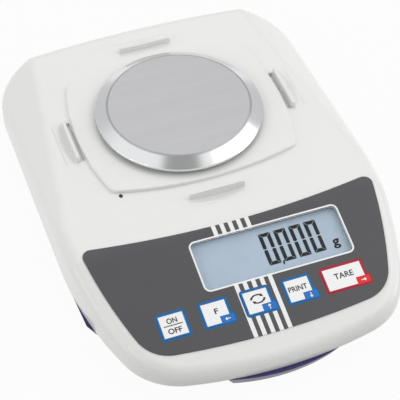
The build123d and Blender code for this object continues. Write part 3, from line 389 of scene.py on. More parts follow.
plasticLook = {"dustColour": (110, 108, 104), "mattSwing": 0.1, "coat": 0.0, "coatRoughness": 0.1}
plastics = {
    "housing_white": {
        "colour": (234, 234, 232), "roughness": 0.40, "grain": 1900, "mottle": 0.012, "depth": 0.012,
        "rub": 0.25, "rubbed": (246, 246, 245), "dust": 0.04, "dustColour": (205, 203, 197),
        "coat": 0.5,
    },
    "base_navy": {
        "colour": (38, 30, 92), "roughness": 0.34, "grain": 1500, "mottle": 0.06, "depth": 0.012,
        "rub": 0.3, "rubbed": (74, 66, 140), "dust": 0.05, "dustColour": (150, 150, 160), "mattSwing": 0.12,
    },
    "carrier_plastic": {
        "colour": (46, 46, 49), "roughness": 0.5, "grain": 1500, "mottle": 0.06, "depth": 0.015,
        "rub": 0.4, "rubbed": (80, 80, 84), "dust": 0.1, "dustColour": (120, 120, 118), "mattSwing": 0.12,
    },
    "buffer_rubber": {
        "colour": (40, 40, 40), "roughness": 0.75, "grain": 1100, "mottle": 0.1, "depth": 0.02,
        "rub": 0.3, "rubbed": (72, 72, 72), "dust": 0.15,
    },
    "foot_rubber": {
        "colour": (34, 34, 35), "roughness": 0.8, "grain": 900, "mottle": 0.12, "depth": 0.03,
        "rub": 0.5, "rubbed": (82, 81, 80), "dust": 0.15,
    },
    "gasket_foam": {
        "colour": (46, 46, 48), "roughness": 0.9, "grain": 1400, "mottle": 0.15, "depth": 0.06,
        "rub": 0.2, "rubbed": (70, 70, 70), "dust": 0.05, "mattSwing": 0.05,
    },
    "gauge_rubber": {
        "colour": (226, 224, 214), "roughness": 0.6, "grain": 600, "mottle": 0.06, "depth": 0.03,
        "rub": 0.2, "rubbed": (238, 236, 228), "dust": 0.08, "dustColour": (170, 166, 156),
    },
    "light_guide": {
        "colour": (238, 241, 244), "roughness": 0.2, "grain": 2200, "mottle": 0.02, "depth": 0.004,
        "rub": 0.2, "rubbed": (250, 250, 250), "dust": 0.0, "mattSwing": 0.04,
    },
    "board_green": {
        "colour": (24, 92, 58), "roughness": 0.35, "grain": 1300, "mottle": 0.12, "depth": 0.012,
        "rub": 0.7, "rubbed": (176, 164, 104), "dust": 0.04, "dustColour": (150, 150, 140),
    },
    "switch_film": {
        "colour": (206, 203, 188), "roughness": 0.3, "grain": 1500, "mottle": 0.04, "depth": 0.006,
        "rub": 0.2, "rubbed": (226, 224, 212), "dust": 0.02, "dustColour": (180, 180, 170), "mattSwing": 0.06,
    },
    "socket_black": {
        "colour": (27, 27, 29), "roughness": 0.42, "grain": 1500, "mottle": 0.08, "depth": 0.012,
        "rub": 0.4, "rubbed": (66, 66, 70), "dust": 0.08,
    },
    "battery_wrap": {
        "colour": (62, 66, 74), "roughness": 0.28, "grain": 700, "mottle": 0.1, "depth": 0.01,
        "rub": 0.5, "rubbed": (150, 152, 156), "dust": 0.02, "dustColour": (120, 120, 120), "mattSwing": 0.08,
    },
    "key_white": {
        "colour": (250, 250, 250), "roughness": 0.36, "grain": 2400, "mottle": 0.01, "depth": 0.006,
        "rub": 0.1, "rubbed": (255, 255, 255), "dust": 0.01, "dustColour": (210, 210, 205), "mattSwing": 0.06,
    },
}

metals = {
    "base_steel": {
        "colour": (190, 192, 194), "rubbed": (225, 226, 228),
        "roughness": 0.42, "density": 700, "rub": 0.8, "depth": 0.02,
    },
    "cell_aluminium": {
        "colour": (214, 216, 218), "rubbed": (240, 240, 242),
        "roughness": 0.34, "density": 900, "rub": 0.8, "depth": 0.015,
    },
    "screw_steel": {
        "colour": (196, 196, 192), "rubbed": (228, 228, 226),
        "roughness": 0.3, "density": 1500, "rub": 1.0, "depth": 0.008,
    },
    "dome_metal": {
        "colour": (212, 212, 210), "rubbed": (236, 236, 234),
        "roughness": 0.24, "density": 1200, "rub": 0.6, "depth": 0.005,
    },
    "port_metal": {
        "colour": (206, 206, 204), "rubbed": (232, 232, 230),
        "roughness": 0.3, "density": 1200, "rub": 0.8, "depth": 0.008,
    },
}

finishes = {name: moulded(name, look) for name, look in plastics.items()}
finishes.update({name: metal(name, look) for name, look in metals.items()})


# Plate: brushed top, polished slope, told apart by how far a point lies from the load axis; the top's colour
# is painted darker than the slope's, painted shade that tones down the lamps' reflection on the top
plateLook = {
    "shadedTopColour": (172, 172, 174), "topRoughness": 0.38, "mattSwing": 0.12,
    "slopeColour": (230, 231, 232), "slopeRoughness": 0.16, "dust": 0.05, "dustColour": (170, 168, 162),
    "topEdge": 0.862, "edgeSoftness": 0.012, "density": 1500.0, "depth": 0.006,
}


def makePlateSteel():
    look = plateLook
    material, tree, shader = newMaterial("plate_steel", look["topRoughness"], 1.0)
    away = reckonVector(tree, "SUBTRACT", objectPlace(tree), (plateX, plateY, 0))
    reach = reckonVector(tree, "LENGTH", reckonVector(tree, "MULTIPLY", away, (1, 1, 0)))
    edge = plateRadius * look["topEdge"]
    soft = plateRadius * look["edgeSoftness"]
    slope = spread(tree, reach, edge - soft, edge + soft, 0.0, 1.0)
    lines = effect(tree, "brushedLines", Density=look["density"])
    dust = effect(tree, "dustFilm", Amount=look["dust"])
    # painted shade: the top of the same steel gets a darker colour than the slope, to tone down the lamps'
    # reflection
    top = shadeColour(tree, paint(*look["shadedTopColour"]), lines["Shade"])
    colour = blendColour(tree, slope, top, paint(*look["slopeColour"]))
    colour = blendColour(tree, dust["Mask"], colour, paint(*look["dustColour"]))
    feed(tree, colour, shader.inputs["Base Color"])
    smoothest = look["topRoughness"] - look["mattSwing"] / 2
    matt = reckon(tree, "MULTIPLY_ADD", lines["Lines"], look["mattSwing"], smoothest)
    feed(tree, spread(tree, slope, 0.0, 1.0, matt, look["slopeRoughness"]), shader.inputs["Roughness"])
    height = reckon(tree, "MULTIPLY", lines["Lines"], reckon(tree, "SUBTRACT", 1.0, slope))
    bump(tree, shader, height, look["depth"] * mm)
    return material


finishes["plate_steel"] = makePlateSteel()


# Keypad foil: grey film with a band of even upright bars printed on it
foilLook = {
    "colour": (75, 75, 78), "barColour": (244, 245, 245), "roughness": 0.46,
    "barCentre": -1.5, "barPitch": 5.2, "barWidth": 2.6, "barCount": 5, "unevenness": 0.05, "depth": 0.006,
    "rub": 0.3, "rubbed": (140, 141, 146), "dust": 0.02, "dustColour": (140, 139, 136),
}


def makeFoilGrey():
    look = foilLook
    material, tree, shader = newMaterial("foil_grey", look["roughness"])
    split = tree.nodes.new("ShaderNodeSeparateXYZ")
    feed(tree, objectPlace(tree), split.inputs[0])
    bandWidth = look["barPitch"] * look["barCount"] * mm
    first = look["barCentre"] * mm - bandWidth / 2
    across = reckon(tree, "SUBTRACT", split.outputs["X"], first)
    step = reckon(tree, "FRACT", reckon(tree, "DIVIDE", across, look["barPitch"] * mm))
    fromMiddle = reckon(tree, "ABSOLUTE", reckon(tree, "SUBTRACT", step, 0.5))
    inBar = reckon(tree, "LESS_THAN", fromMiddle, look["barWidth"] / look["barPitch"] / 2)
    afterFirst = reckon(tree, "GREATER_THAN", across, 0.0)
    beforeLast = reckon(tree, "LESS_THAN", across, bandWidth)
    bars = reckon(tree, "MULTIPLY", inBar, reckon(tree, "MULTIPLY", afterFirst, beforeLast))
    ink = effect(tree, "inkLayer", Unevenness=look["unevenness"])
    colour = blendColour(tree, bars, paint(*look["colour"]), paint(*look["barColour"]))
    weathered(tree, shader, look, shadeColour(tree, colour, ink["Shade"]), ink["Height"])
    return material


finishes["foil_grey"] = makeFoilGrey()


# Liquid crystal cell and the clear pane over it
glassLook = {
    "colour": (186, 204, 222), "rubbed": (200, 214, 222), "roughness": 0.25,
    "grain": 2600.0, "mottle": 0.02, "rub": 0.2, "depth": 0.002,
}
paneLook = {
    "colour": (150, 156, 160), "roughness": 0.06, "shine": 0.15, "depth": 0.01,
    "smear": {"scale": 90.0, "detail": 5.0, "roughness": 0.6}, "haze": (0.35, 0.75, 0.02, 0.04),
}


def makeLcdGlass():
    material, tree, shader = newMaterial("lcd_glass", glassLook["roughness"])
    grain, colour = grained(tree, glassLook)
    weathered(tree, shader, glassLook, colour, grain["Height"])
    return material


def makePaneClear():
    look = paneLook
    material, tree, shader = newMaterial("pane_clear", look["roughness"])
    shader.inputs["Base Color"].default_value = paint(*look["colour"])
    shader.inputs["Specular IOR Level"].default_value = look["shine"]
    smear = noise(tree, objectPlace(tree), **look["smear"])
    feed(tree, spread(tree, smear, *look["haze"]), shader.inputs["Alpha"])
    bump(tree, shader, smear, look["depth"] * mm)
    return material


finishes["lcd_glass"] = makeLcdGlass()
finishes["pane_clear"] = makePaneClear()


inkFinish = {"roughness": 0.4, "shine": 0.25, "unevenness": 0.06, "depth": 0.004}


def makeInk(name, colour):
    material, tree, shader = newMaterial(name, inkFinish["roughness"])
    shader.inputs["Specular IOR Level"].default_value = inkFinish["shine"]
    ink = effect(tree, "inkLayer", Unevenness=inkFinish["unevenness"])
    feed(tree, shadeColour(tree, colour, ink["Shade"]), shader.inputs["Base Color"])
    bump(tree, shader, ink["Height"], inkFinish["depth"] * mm)
    return material


inkColours = {
    "white": paint(250, 250, 250), "blue": paint(18, 106, 168), "brightBlue": paint(12, 112, 194),
    "red": paint(172, 34, 56), "brightRed": paint(226, 20, 30),
    "dark": paint(52, 52, 56), "segment": paint(2, 2, 8),
}
inks = {name: makeInk("ink_" + name, colour) for name, colour in inkColours.items()}
print("materials made:", len(finishes) + len(inks))

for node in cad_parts.values():
    for place in node.material_slots:
        slotName = place.material.name.split(".")[0]
        if slotName in finishes:
            place.material = finishes[slotName]
        else:
            print("no finish for", slotName)


# Housing skin: the raised field has bowed sides and each bar a soft dish, cut into a copy of the mesh
skin = {
    "halfWidth": 66.8, "halfDepth": 57.2, "cornerX": 59.2, "cornerY": 48.8, "cornerReach": 3.6, "steps": 14,
    "rise": 2.1, "edge": 0.9, "edgeSteps": 4, "keepRadius": 49.5, "keepOverlap": 0.6,
    "oldHalfWidth": 66.8, "oldHalfDepth": 58.0, "oldCornerX": 59.5, "oldCornerY": 49.0, "grow": 1.001,
    "sharpFrom": 32.0, "flatWithin": 0.05, "normalWeight": 50, "cutFrom": -0.005, "cutTo": 9.0,
    "fieldFrom": -0.03, "edgeCount": 8, "cornerCount": 5,
}
seat = {
    "sideAt": 69.5, "endAt": 66.8, "halfBar": 2.1, "halfPocket": 20.5,
    "floor": -1.4, "under": -1.7, "top": -0.01, "overlap": 0.02, "intoBar": 0.3,
    "slotNear": 66.9, "slotFar": 69.0, "slotHalf": 17.2, "inner": 3.7,
    "reach": 6.6, "dishReach": 6.0, "dishHalf": 19.5, "dishDepth": 1.3, "slotFloor": -2.2, "grid": 16,
}
deckZ = creaseZ


def closedMesh(name, shells):
    # shells is a list of (points, faces) in millimetres about the load axis and the deck
    vertices = []
    faces = []
    for points, shellFaces in shells:
        first = len(vertices)
        vertices += [(plateX + x * mm, plateY + y * mm, (deckZ + z) * mm) for x, y, z in points]
        faces += [[first + i for i in face] for face in shellFaces]
    mesh = bpy.data.meshes.new(name)
    mesh.from_pydata(vertices, [], faces)
    work = bmesh.new()
    work.from_mesh(mesh)
    bmesh.ops.recalc_face_normals(work, faces=work.faces)
    work.to_mesh(mesh)
    work.free()
    return addObject(name, mesh)


def boxCorners(left, right, low, high):
    return [(left, low), (right, low), (right, high), (left, high)]


def ringShell(outlines, hole, low, high):
    # outlines go up from low; the hole is a circle with as many points as each outline
    count = len(outlines[0][0])
    points = [(x, y, z) for outline, z in outlines for x, y in outline]
    angles = [math.atan2(y, x) for x, y in outlines[0][0]]
    for z in (high, low):
        points += [(hole * math.cos(a), hole * math.sin(a), z) for a in angles]
    rings = len(outlines) + 2
    faces = []
    for ring in range(rings):
        after = (ring + 1) % rings
        for i in range(count):
            j = (i + 1) % count
            faces.append((ring * count + i, ring * count + j, after * count + j, after * count + i))
    return points, faces


def bowedOutline():
    # four arcs through the middles of the sides and the corners, with the corners rounded off
    look = skin
    steps = look["steps"]

    def arc(half, side, reach):
        dip = half - side
        radius = (dip * dip + reach * reach) / (2 * dip)
        turn = math.asin(reach / radius) - look["cornerReach"] / radius
        angles = [turn * (2 * i / steps - 1) for i in range(steps + 1)]
        return [(half - radius + radius * math.cos(angle), radius * math.sin(angle)) for angle in angles]

    right = arc(look["halfWidth"], look["cornerX"], look["cornerY"])
    back = [(-along, out) for out, along in arc(look["halfDepth"], look["cornerY"], look["cornerX"])]
    corners = boxCorners(-look["cornerX"], look["cornerX"], -look["cornerY"], look["cornerY"])
    sides = [right, back, [(-x, -y) for x, y in right], [(-x, -y) for x, y in back]]
    points = []
    for i, side in enumerate(sides):
        points += side
        first = Vector(side[-1])
        last = Vector(sides[(i + 1) % 4][0])
        corner = Vector(corners[(i + 2) % 4])
        for step in range(1, look["cornerCount"]):
            share = step / look["cornerCount"]
            near = first.lerp(corner, share)
            points.append(tuple(near.lerp(corner.lerp(last, share), share)))
    return points


def dishShell(at, turned):
    # a block whose top sinks to the bar in a soft D
    start = at + seat["halfBar"] - seat["intoBar"]
    end = at + seat["halfBar"] + seat["reach"] + seat["overlap"]
    half = seat["halfPocket"] + seat["overlap"]
    count = seat["grid"]
    tops = []
    for i in range(count + 1):
        u = start + (end - start) * i / count
        for j in range(2 * count + 1):
            v = half * (j / count - 1)
            outward = max(0, (u - at - seat["halfBar"]) / seat["dishReach"])
            sink = max(0, 1 - outward ** 2 - (v / seat["dishHalf"]) ** 2)
            tops.append((u, v, seat["top"] - seat["dishDepth"] * sink * sink * (3 - 2 * sink)))
    row = 2 * count + 1
    points = tops + [(u, v, seat["under"]) for u, v, z in tops]
    lower = len(tops)
    faces = []
    for i in range(count):
        for j in range(row - 1):
            a = i * row + j
            faces.append((a, a + 1, a + row + 1, a + row))
            faces.append((lower + a + row, lower + a + row + 1, lower + a + 1, lower + a))
    rim = list(range(row)) + [i * row + row - 1 for i in range(1, count + 1)]
    rim += [count * row + j for j in range(row - 2, -1, -1)] + [i * row for i in range(count - 1, 0, -1)]
    for a, b in zip(rim, rim[1:] + rim[:1]):
        faces.append((b, a, lower + a, lower + b))
    return [(turnPoint(u, v, turned) + (z,)) for u, v, z in points], faces


def turnPoint(u, v, turned):
    # u points outward from the load axis and v along the bar; turned counts quarter turns
    return [(u, v), (-v, u), (-u, -v), (v, -u)][turned]


def seatBox(uLow, uHigh, vLow, vHigh, low, high, turned):
    first = turnPoint(uLow, vLow, turned)
    second = turnPoint(uHigh, vHigh, turned)
    left, right = sorted((first[0], second[0]))
    near, far = sorted((first[1], second[1]))
    corners = boxCorners(left, right, near, far)
    points = [(x, y, z) for z in (low, high) for x, y in corners]
    return points, [(3, 2, 1, 0), (4, 5, 6, 7), (0, 1, 5, 4), (1, 2, 6, 5), (2, 3, 7, 6), (3, 0, 4, 7)]


def meshFrom(thing):
    # the mesh of a piece with its modifiers, or of a curve
    bpy.context.view_layer.update()
    graph = bpy.context.evaluated_depsgraph_get()
    return bpy.data.meshes.new_from_object(thing.evaluated_get(graph))


def keepChanges(piece):
    mesh = meshFrom(piece)
    piece.modifiers.clear()
    piece.data = mesh


def combine(target, operation, name, shells):
    tool = closedMesh(name, shells)
    change = target.modifiers.new(operation, "BOOLEAN")
    change.operation = operation
    change.solver = "EXACT"
    change.object = tool
    keepChanges(target)
    bpy.data.objects.remove(tool)


def evenNormals(piece):
    # flat faces stay flat beside the rounded edges
    work = bmesh.new()
    work.from_mesh(piece.data)
    limit = math.radians(skin["flatWithin"])
    bmesh.ops.dissolve_limit(
        work, angle_limit=limit, use_dissolve_boundaries=False, verts=work.verts, edges=work.edges,
    )
    work.to_mesh(piece.data)
    work.free()
    for face in piece.data.polygons:
        face.use_smooth = True
    piece.data.set_sharp_from_angle(angle=math.radians(skin["sharpFrom"]))
    even = piece.modifiers.new("even_normals", "WEIGHTED_NORMAL")
    even.mode = "FACE_AREA"
    even.weight = skin["normalWeight"]
    even.keep_sharp = True
    keepChanges(piece)


def fieldCutter():
    # a block round the straight-sided field of the CAD, with the middle under the plate left alone
    middle = [
        (skin["oldHalfWidth"], -skin["oldCornerY"]), (skin["oldHalfWidth"], skin["oldCornerY"]),
        (skin["oldCornerX"], skin["oldHalfDepth"]), (-skin["oldCornerX"], skin["oldHalfDepth"]),
    ]
    corners = [(x * skin["grow"], y * skin["grow"]) for x, y in middle]
    corners += [(-x, -y) for x, y in corners]
    count = skin["edgeCount"]
    edges = []
    for i, corner in enumerate(corners):
        first = Vector(corner)
        last = Vector(corners[(i + 1) % len(corners)])
        edges += [tuple(first.lerp(last, step / count)) for step in range(count)]
    low = skin["cutFrom"]
    high = skin["cutTo"]
    return ringShell([(edges, low), (edges, high)], skin["keepRadius"], low, high)


def bowedField():
    outline = bowedOutline()
    low = skin["fieldFrom"]
    outlines = [(outline, low)]
    for step in range(skin["edgeSteps"] + 1):
        angle = math.pi / 2 * step / skin["edgeSteps"]
        share = 1 - skin["edge"] * (1 - math.cos(angle)) / skin["halfDepth"]
        height = skin["rise"] - skin["edge"] * (1 - math.sin(angle))
        outlines.append(([(x * share, y * share) for x, y in outline], height))
    return ringShell(outlines, skin["keepRadius"] - skin["keepOverlap"], low, skin["rise"])


def seatCutters(at, turned):
    # room for the dish outside a bar, and the slot inside a side bar
    length = seat["halfPocket"]
    outer = at + seat["halfBar"]
    cuts = [(outer, outer + seat["reach"], -length, length, seat["floor"])]
    if turned % 2 == 0:
        half = seat["slotHalf"]
        cuts.append((seat["slotNear"], seat["slotFar"], -half, half, seat["slotFloor"]))
    return [seatBox(*cut, skin["cutTo"], turned) for cut in cuts]


def seatBlocks(at, turned):
    # fills the square pocket of the CAD: all of it at an end bar, beyond the slot at a side bar
    length = seat["halfPocket"]
    fills = [(at - seat["inner"], -length, length)]
    if turned % 2 == 0:
        near = seat["slotNear"]
        fills = [(near, seat["slotHalf"], length), (near, -length, -seat["slotHalf"])]
    outer = at + seat["halfBar"] + seat["overlap"]
    return [
        seatBox(inner, outer, start, end, seat["under"], seat["top"], turned)
        for inner, start, end in fills
    ]


def recutHousing():
    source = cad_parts["upper_housing"]
    housing = addObject("upper_housing_skin", source.data.copy())
    housing.matrix_world = source.matrix_world
    stored = housing.data.attributes.get("custom_normal")
    if stored:
        housing.data.attributes.remove(stored)
    bars = [(seat["endAt" if turned % 2 else "sideAt"], turned) for turned in range(4)]
    cutters = [fieldCutter()]
    blocks = []
    for at, turned in bars:
        cutters += seatCutters(at, turned)
        blocks += seatBlocks(at, turned)
    combine(housing, "DIFFERENCE", "skin_cut", cutters)
    combine(housing, "UNION", "skin_field", [bowedField()])
    combine(housing, "UNION", "skin_blocks", blocks)
    combine(housing, "UNION", "skin_dishes", [dishShell(at, turned) for at, turned in bars])
    evenNormals(housing)
    housing.data.materials.clear()
    housing.data.materials.append(finishes["housing_white"])
    for face in housing.data.polygons:
        face.material_index = 0
    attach(housing, "root")
    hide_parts("upper_housing")
    print("housing skin recut:", len(housing.data.polygons), "faces")


recutHousing()


# Printed pieces: thin closed solids lying on the panel
printSheet = {"thickness": 0.03, "lift": 0.01, "cornerSteps": 6, "letterSteps": 4}


def roundedOutline(corners, radius):
    # walks round the corners anticlockwise; outward corners are rounded, inward ones stay sharp
    points = []
    count = len(corners)
    for i, corner in enumerate(corners):
        before = Vector(corners[i - 1]) - Vector(corner)
        after = Vector(corners[(i + 1) % count]) - Vector(corner)
        before.normalize()
        after.normalize()
        if before.x * after.y - before.y * after.x > 0:
            points.append(Vector(corner))
            continue
        half = before.angle(after) / 2
        centre = Vector(corner) + (before + after).normalized() * (radius / math.sin(half))
        start = Vector(corner) + before * (radius / math.tan(half))
        turn = math.pi - 2 * half
        arm = start - centre
        for step in range(printSheet["cornerSteps"] + 1):
            angle = turn * step / printSheet["cornerSteps"]
            points.append(centre + Matrix.Rotation(angle, 2) @ arm)
    return points


def meshOf(curve):
    carrier = addObject("carrier", curve)
    mesh = meshFrom(carrier)
    bpy.data.objects.remove(carrier)
    bpy.data.curves.remove(curve)
    return mesh


def layOnPanel(name, mesh, level, ink, body, surface=panelMatrix):
    # mesh is in millimetres on its surface, with its thickness about n = 0
    lift = level + printSheet["lift"] + printSheet["thickness"] / 2
    mesh.transform(Matrix.Translation((0, 0, lift)))
    mesh.transform(surface)
    mesh.materials.clear()
    mesh.materials.append(inks[ink])
    piece = addObject(name, mesh)
    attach(piece, body)


def outlineMesh(name, outlines):
    # every outline is a list of points; one inside another leaves a hole
    curve = bpy.data.curves.new(name, "CURVE")
    curve.dimensions = "2D"
    curve.fill_mode = "BOTH"
    curve.extrude = printSheet["thickness"] / 2
    for points in outlines:
        spline = curve.splines.new("POLY")
        spline.points.add(len(points) - 1)
        for place, point in zip(spline.points, points):
            place.co = (point[0], point[1], 0, 1)
        spline.use_cyclic_u = True
    return meshOf(curve)


def printShape(name, outlines, level, ink, body="root"):
    layOnPanel(name, outlineMesh(name, outlines), level, ink, body)


def printWord(name, word, centre, size, level, ink, weight, body="root"):
    # size is the width and height that the letters fill
    curve = bpy.data.curves.new(name, "FONT")
    curve.body = word
    curve.resolution_u = printSheet["letterSteps"]
    curve.offset = weight
    # any depth will do here, because the letters are stretched to the print's thickness
    curve.extrude = 0.5
    mesh = meshOf(curve)
    low = Vector([min(v.co[i] for v in mesh.vertices) for i in range(3)])
    high = Vector([max(v.co[i] for v in mesh.vertices) for i in range(3)])
    middle = (low + high) / 2
    mesh.transform(Matrix.Translation(-middle))
    full = high - low
    stretch = (size[0] / full.x, size[1] / full.y, printSheet["thickness"] / full.z)
    mesh.transform(Matrix.Diagonal((*stretch, 1)))
    mesh.transform(Matrix.Translation((centre[0], centre[1], 0)))
    layOnPanel(name, mesh, level, ink, body)


# Window: white outline round the opening
window = {"line": 1.0, "gap": 0.04, "height": 31.3, "radius": 3.0}
windowLeft = paneLow.x / mm + panel["paneMargin"]
windowRight = paneHigh.x / mm - panel["paneMargin"]
windowTop = panel["paneTop"] - panel["paneMargin"]
windowBottom = windowTop - window["height"]


def windowRing(grow):
    corners = boxCorners(windowLeft - grow, windowRight + grow, windowBottom - grow, windowTop + grow)
    return roundedOutline(corners, window["radius"] + grow)


printShape(
    "window_outline",
    [windowRing(window["gap"] + window["line"]), windowRing(window["gap"])],
    panel["foilTop"], "white",
)

# Digits of the display, in seven-segment shapes on the face of the glass
digits = {
    "level": -3.0, "firstLeft": 12.3, "pitch": 9.55, "width": 7.4, "top": 4.2, "height": 21.0,
    "stroke": 2.3, "gap": 0.14, "nose": 0.6, "count": 4,
}
comma = {"after": 1.5, "shape": [(-0.8, -1.6), (0.1, -1.4), (0.7, 1.0), (-0.5, 1.0)]}
unitSign = {"x": 55.4, "below": 23.0, "size": (4.5, 6.3), "weight": 0.03}


def zeroOutlines(left, top):
    # six bars with mitred corners, parted at half height; a flip mirrors a bar across the digit
    stroke = digits["stroke"]
    gap = digits["gap"]
    width = digits["width"]
    height = digits["height"]
    tip = height / 2 - gap
    shoulder = height / 2 - digits["nose"]
    bar = [(gap, 0), (width - gap, 0), (width - stroke - gap, stroke), (stroke + gap, stroke)]
    post = [(0, gap), (stroke, stroke + gap), (stroke, shoulder), (stroke / 2, tip), (0, shoulder)]
    shapes = []
    for shape, flips in ((bar, (0,)), (post, (0, width))):
        for flipY in (0, height):
            for flipX in flips:
                shapes.append([(left + abs(flipX - x), top - abs(flipY - y)) for x, y in shape])
    return shapes


digitTop = windowTop - digits["top"]
segments = []
for i in range(digits["count"]):
    segments += zeroOutlines(digits["firstLeft"] + i * digits["pitch"], digitTop)
commaX = digits["firstLeft"] + digits["width"] + comma["after"]
commaV = digitTop - digits["height"]
segments.append([(commaX + x, commaV + v) for x, v in comma["shape"]])
printShape("display_digits", segments, digits["level"], "segment")
printWord(
    "display_unit", "g", (unitSign["x"], windowTop - unitSign["below"]), unitSign["size"],
    digits["level"], "segment", unitSign["weight"],
)

# Keys: white face with a coloured border and tab, legend in dark ink
keys = {
    "height": 15.3, "under": 0.25, "border": 0.9, "gap": 0.2, "frame": 0.75, "radius": 1.0,
    "tabReach": 1.8, "tabWidth": 8.5, "tabHeight": 5.0, "tabSpill": 1.0, "surroundLap": 0.12,
}
keyLooks = {
    "key_on_off": {"ink": "blue", "arrow": None},
    "key_function": {"ink": "blue", "arrow": 180},
    "key_cycle": {"ink": "blue", "arrow": 90},
    "key_print": {"ink": "blue", "arrow": -90},
    "key_tare": {"ink": "red", "arrow": 0},
}
brightInks = {"blue": "brightBlue", "red": "brightRed"}


def keyBox(name):
    low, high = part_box(name)
    left = low.x / mm
    right = high.x / mm
    if keyLooks[name]["arrow"] is not None:
        right -= keys["tabReach"]
    top = (high.y / mm - creaseY - keys["under"] * panelSin) / panelCos
    return left, right, top - keys["height"], top


def keyCorners(name, grow):
    left, right, low, high = keyBox(name)
    outline = boxCorners(left - grow, right + grow, low - grow, high + grow)
    if keyLooks[name]["arrow"] is not None:
        tabRight = right + keys["tabReach"] + grow
        tabTop = low + keys["tabHeight"] + grow
        outline[1:2] = [(tabRight, low - grow), (tabRight, tabTop), (right + grow, tabTop)]
    return outline


arrow = {"tail": -1.5, "neck": 0.5, "tip": 1.75, "halfStroke": 0.28, "halfHead": 1.15}


def arrowOutline(x, v, degrees):
    # a plain arrow that fits in the tab, pointing right before it is turned
    lower = [(arrow["tail"], -arrow["halfStroke"]), (arrow["neck"], -arrow["halfStroke"])]
    lower.append((arrow["neck"], -arrow["halfHead"]))
    shape = lower + [(arrow["tip"], 0)] + [(a, -b) for a, b in reversed(lower)]
    turn = Matrix.Rotation(math.radians(degrees), 2)
    return [Vector((x, v)) + turn @ Vector(point) for point in shape]


keyFinish = {
    "roughness": 0.36, "unevenness": 0.04, "rub": 0.15, "rubbed": (214, 222, 232),
    "dust": 0.01, "dustColour": (200, 200, 196), "depth": 0.004,
}


def insideBox(tree, across, along, box):
    left, right, low, high = box
    within = []
    for value, start, end in ((across, left, right), (along, low, high)):
        away = reckon(tree, "ABSOLUTE", reckon(tree, "SUBTRACT", value, (start + end) / 2 * mm))
        within.append(reckon(tree, "LESS_THAN", away, (end - start) / 2 * mm))
    return reckon(tree, "MULTIPLY", *within)


def makeKeyMaterial(name, faceBox, tabBox, ink):
    look = keyFinish
    material, tree, shader = newMaterial(name + "_film", look["roughness"])
    split = tree.nodes.new("ShaderNodeSeparateXYZ")
    feed(tree, objectPlace(tree), split.inputs[0])
    crease = (creaseZ * panelSin + creaseY * panelCos) * mm
    rise = reckon(tree, "MULTIPLY_ADD", split.outputs["Z"], panelSin, -crease)
    along = reckon(tree, "MULTIPLY_ADD", split.outputs["Y"], panelCos, rise)
    face = insideBox(tree, split.outputs["X"], along, faceBox)
    colour = blendColour(tree, face, inkColours[ink], inkColours["white"])
    if tabBox:
        tab = insideBox(tree, split.outputs["X"], along, tabBox)
        colour = blendColour(tree, tab, colour, inkColours[brightInks[ink]])
    cover = effect(tree, "inkLayer", Unevenness=look["unevenness"])
    weathered(tree, shader, look, shadeColour(tree, colour, cover["Shade"]), cover["Height"])
    return material


for keyName, look in keyLooks.items():
    left, right, low, high = keyBox(keyName)
    border = keys["border"]
    faceBox = (left + border, right - border, low + border, high - border)
    tabBox = None
    if look["arrow"] is not None:
        tabLeft = right + keys["tabReach"] - keys["tabWidth"]
        tabRight = right + keys["tabReach"]
        tabTop = low + keys["tabHeight"]
        tabBox = (tabLeft, tabRight + keys["tabSpill"], low - keys["tabSpill"], tabTop)
        pointer = arrowOutline((tabLeft + tabRight) / 2, (low + tabTop) / 2, look["arrow"])
        printShape(keyName + "_arrow", [pointer], panel["keyTop"], "white", keyName)
    keyMaterial = makeKeyMaterial(keyName, faceBox, tabBox, look["ink"])
    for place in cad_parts[keyName].material_slots:
        place.material = keyMaterial
    growIn = keys["gap"] - keys["surroundLap"]
    growOut = keys["gap"] + keys["frame"]
    rings = [roundedOutline(keyCorners(keyName, grow), keys["radius"] + grow) for grow in (growOut, growIn)]
    printShape(keyName + "_surround", rings, panel["foilTop"], look["ink"])


def faceCentre(name):
    left, right, low, high = keyBox(name)
    return (left + right) / 2, (low + high) / 2


# Legends, each placed from the middle of its key's face; the one without a word is a plain line
legends = {
    "on": {"key": "on_off", "word": "ON", "place": (0, 3.0), "size": (6.2, 3.4), "weight": 0.022},
    "off": {"key": "on_off", "word": "OFF", "place": (0, -3.3), "size": (8.2, 3.4), "weight": 0.022},
    "line": {"key": "on_off", "place": (0, 0.125), "size": (11.2, 0.55)},
    "function": {"key": "function", "word": "F", "place": (0.6, 1.0), "size": (2.3, 3.4), "weight": 0.025},
    "print": {"key": "print", "word": "PRINT", "place": (-0.4, 0.9), "size": (11.6, 3.4), "weight": 0.018},
    "tare": {"key": "tare", "word": "TARE", "place": (-0.1, 1.1), "size": (11.8, 3.6), "weight": 0.018},
}

for name, look in legends.items():
    body = "key_" + look["key"]
    x, v = faceCentre(body)
    x += look["place"][0]
    v += look["place"][1]
    if "word" in look:
        printWord(
            "legend_" + name, look["word"], (x, v), look["size"], panel["keyTop"], "dark",
            look["weight"], body,
        )
    else:
        width, height = look["size"]
        corners = boxCorners(x - width / 2, x + width / 2, v - height / 2, v + height / 2)
        printShape("legend_" + name, [corners], panel["keyTop"], "dark", body)

# Cycle sign: two curved arrows chasing each other
cycleSign = {
    "radius": 3.9, "stroke": 1.25, "sweep": 122.0, "head": 2.7, "tipInset": 0.15, "flat": 0.66,
    "steps": 14, "place": (0.5, 1.3), "starts": (178, -2),
}


def curvedArrow(centre, startAngle):
    look = cycleSign
    radius = look["radius"]
    inner = radius - look["stroke"] / 2
    outer = radius + look["stroke"] / 2
    steps = range(look["steps"] + 1)
    angles = [math.radians(startAngle - look["sweep"] * i / look["steps"]) for i in steps]

    def at(reach, angle):
        return (centre[0] + reach * math.cos(angle), centre[1] + reach * math.sin(angle) * look["flat"])

    last = angles[-1]
    tip = last - look["head"] / radius
    points = [at(outer, angle) for angle in angles]
    points.append(at(radius + look["head"] / 2, last))
    points.append(at(radius - look["tipInset"], tip))
    points.append(at(radius - look["head"] / 2, last))
    points += [at(inner, angle) for angle in reversed(angles)]
    return points


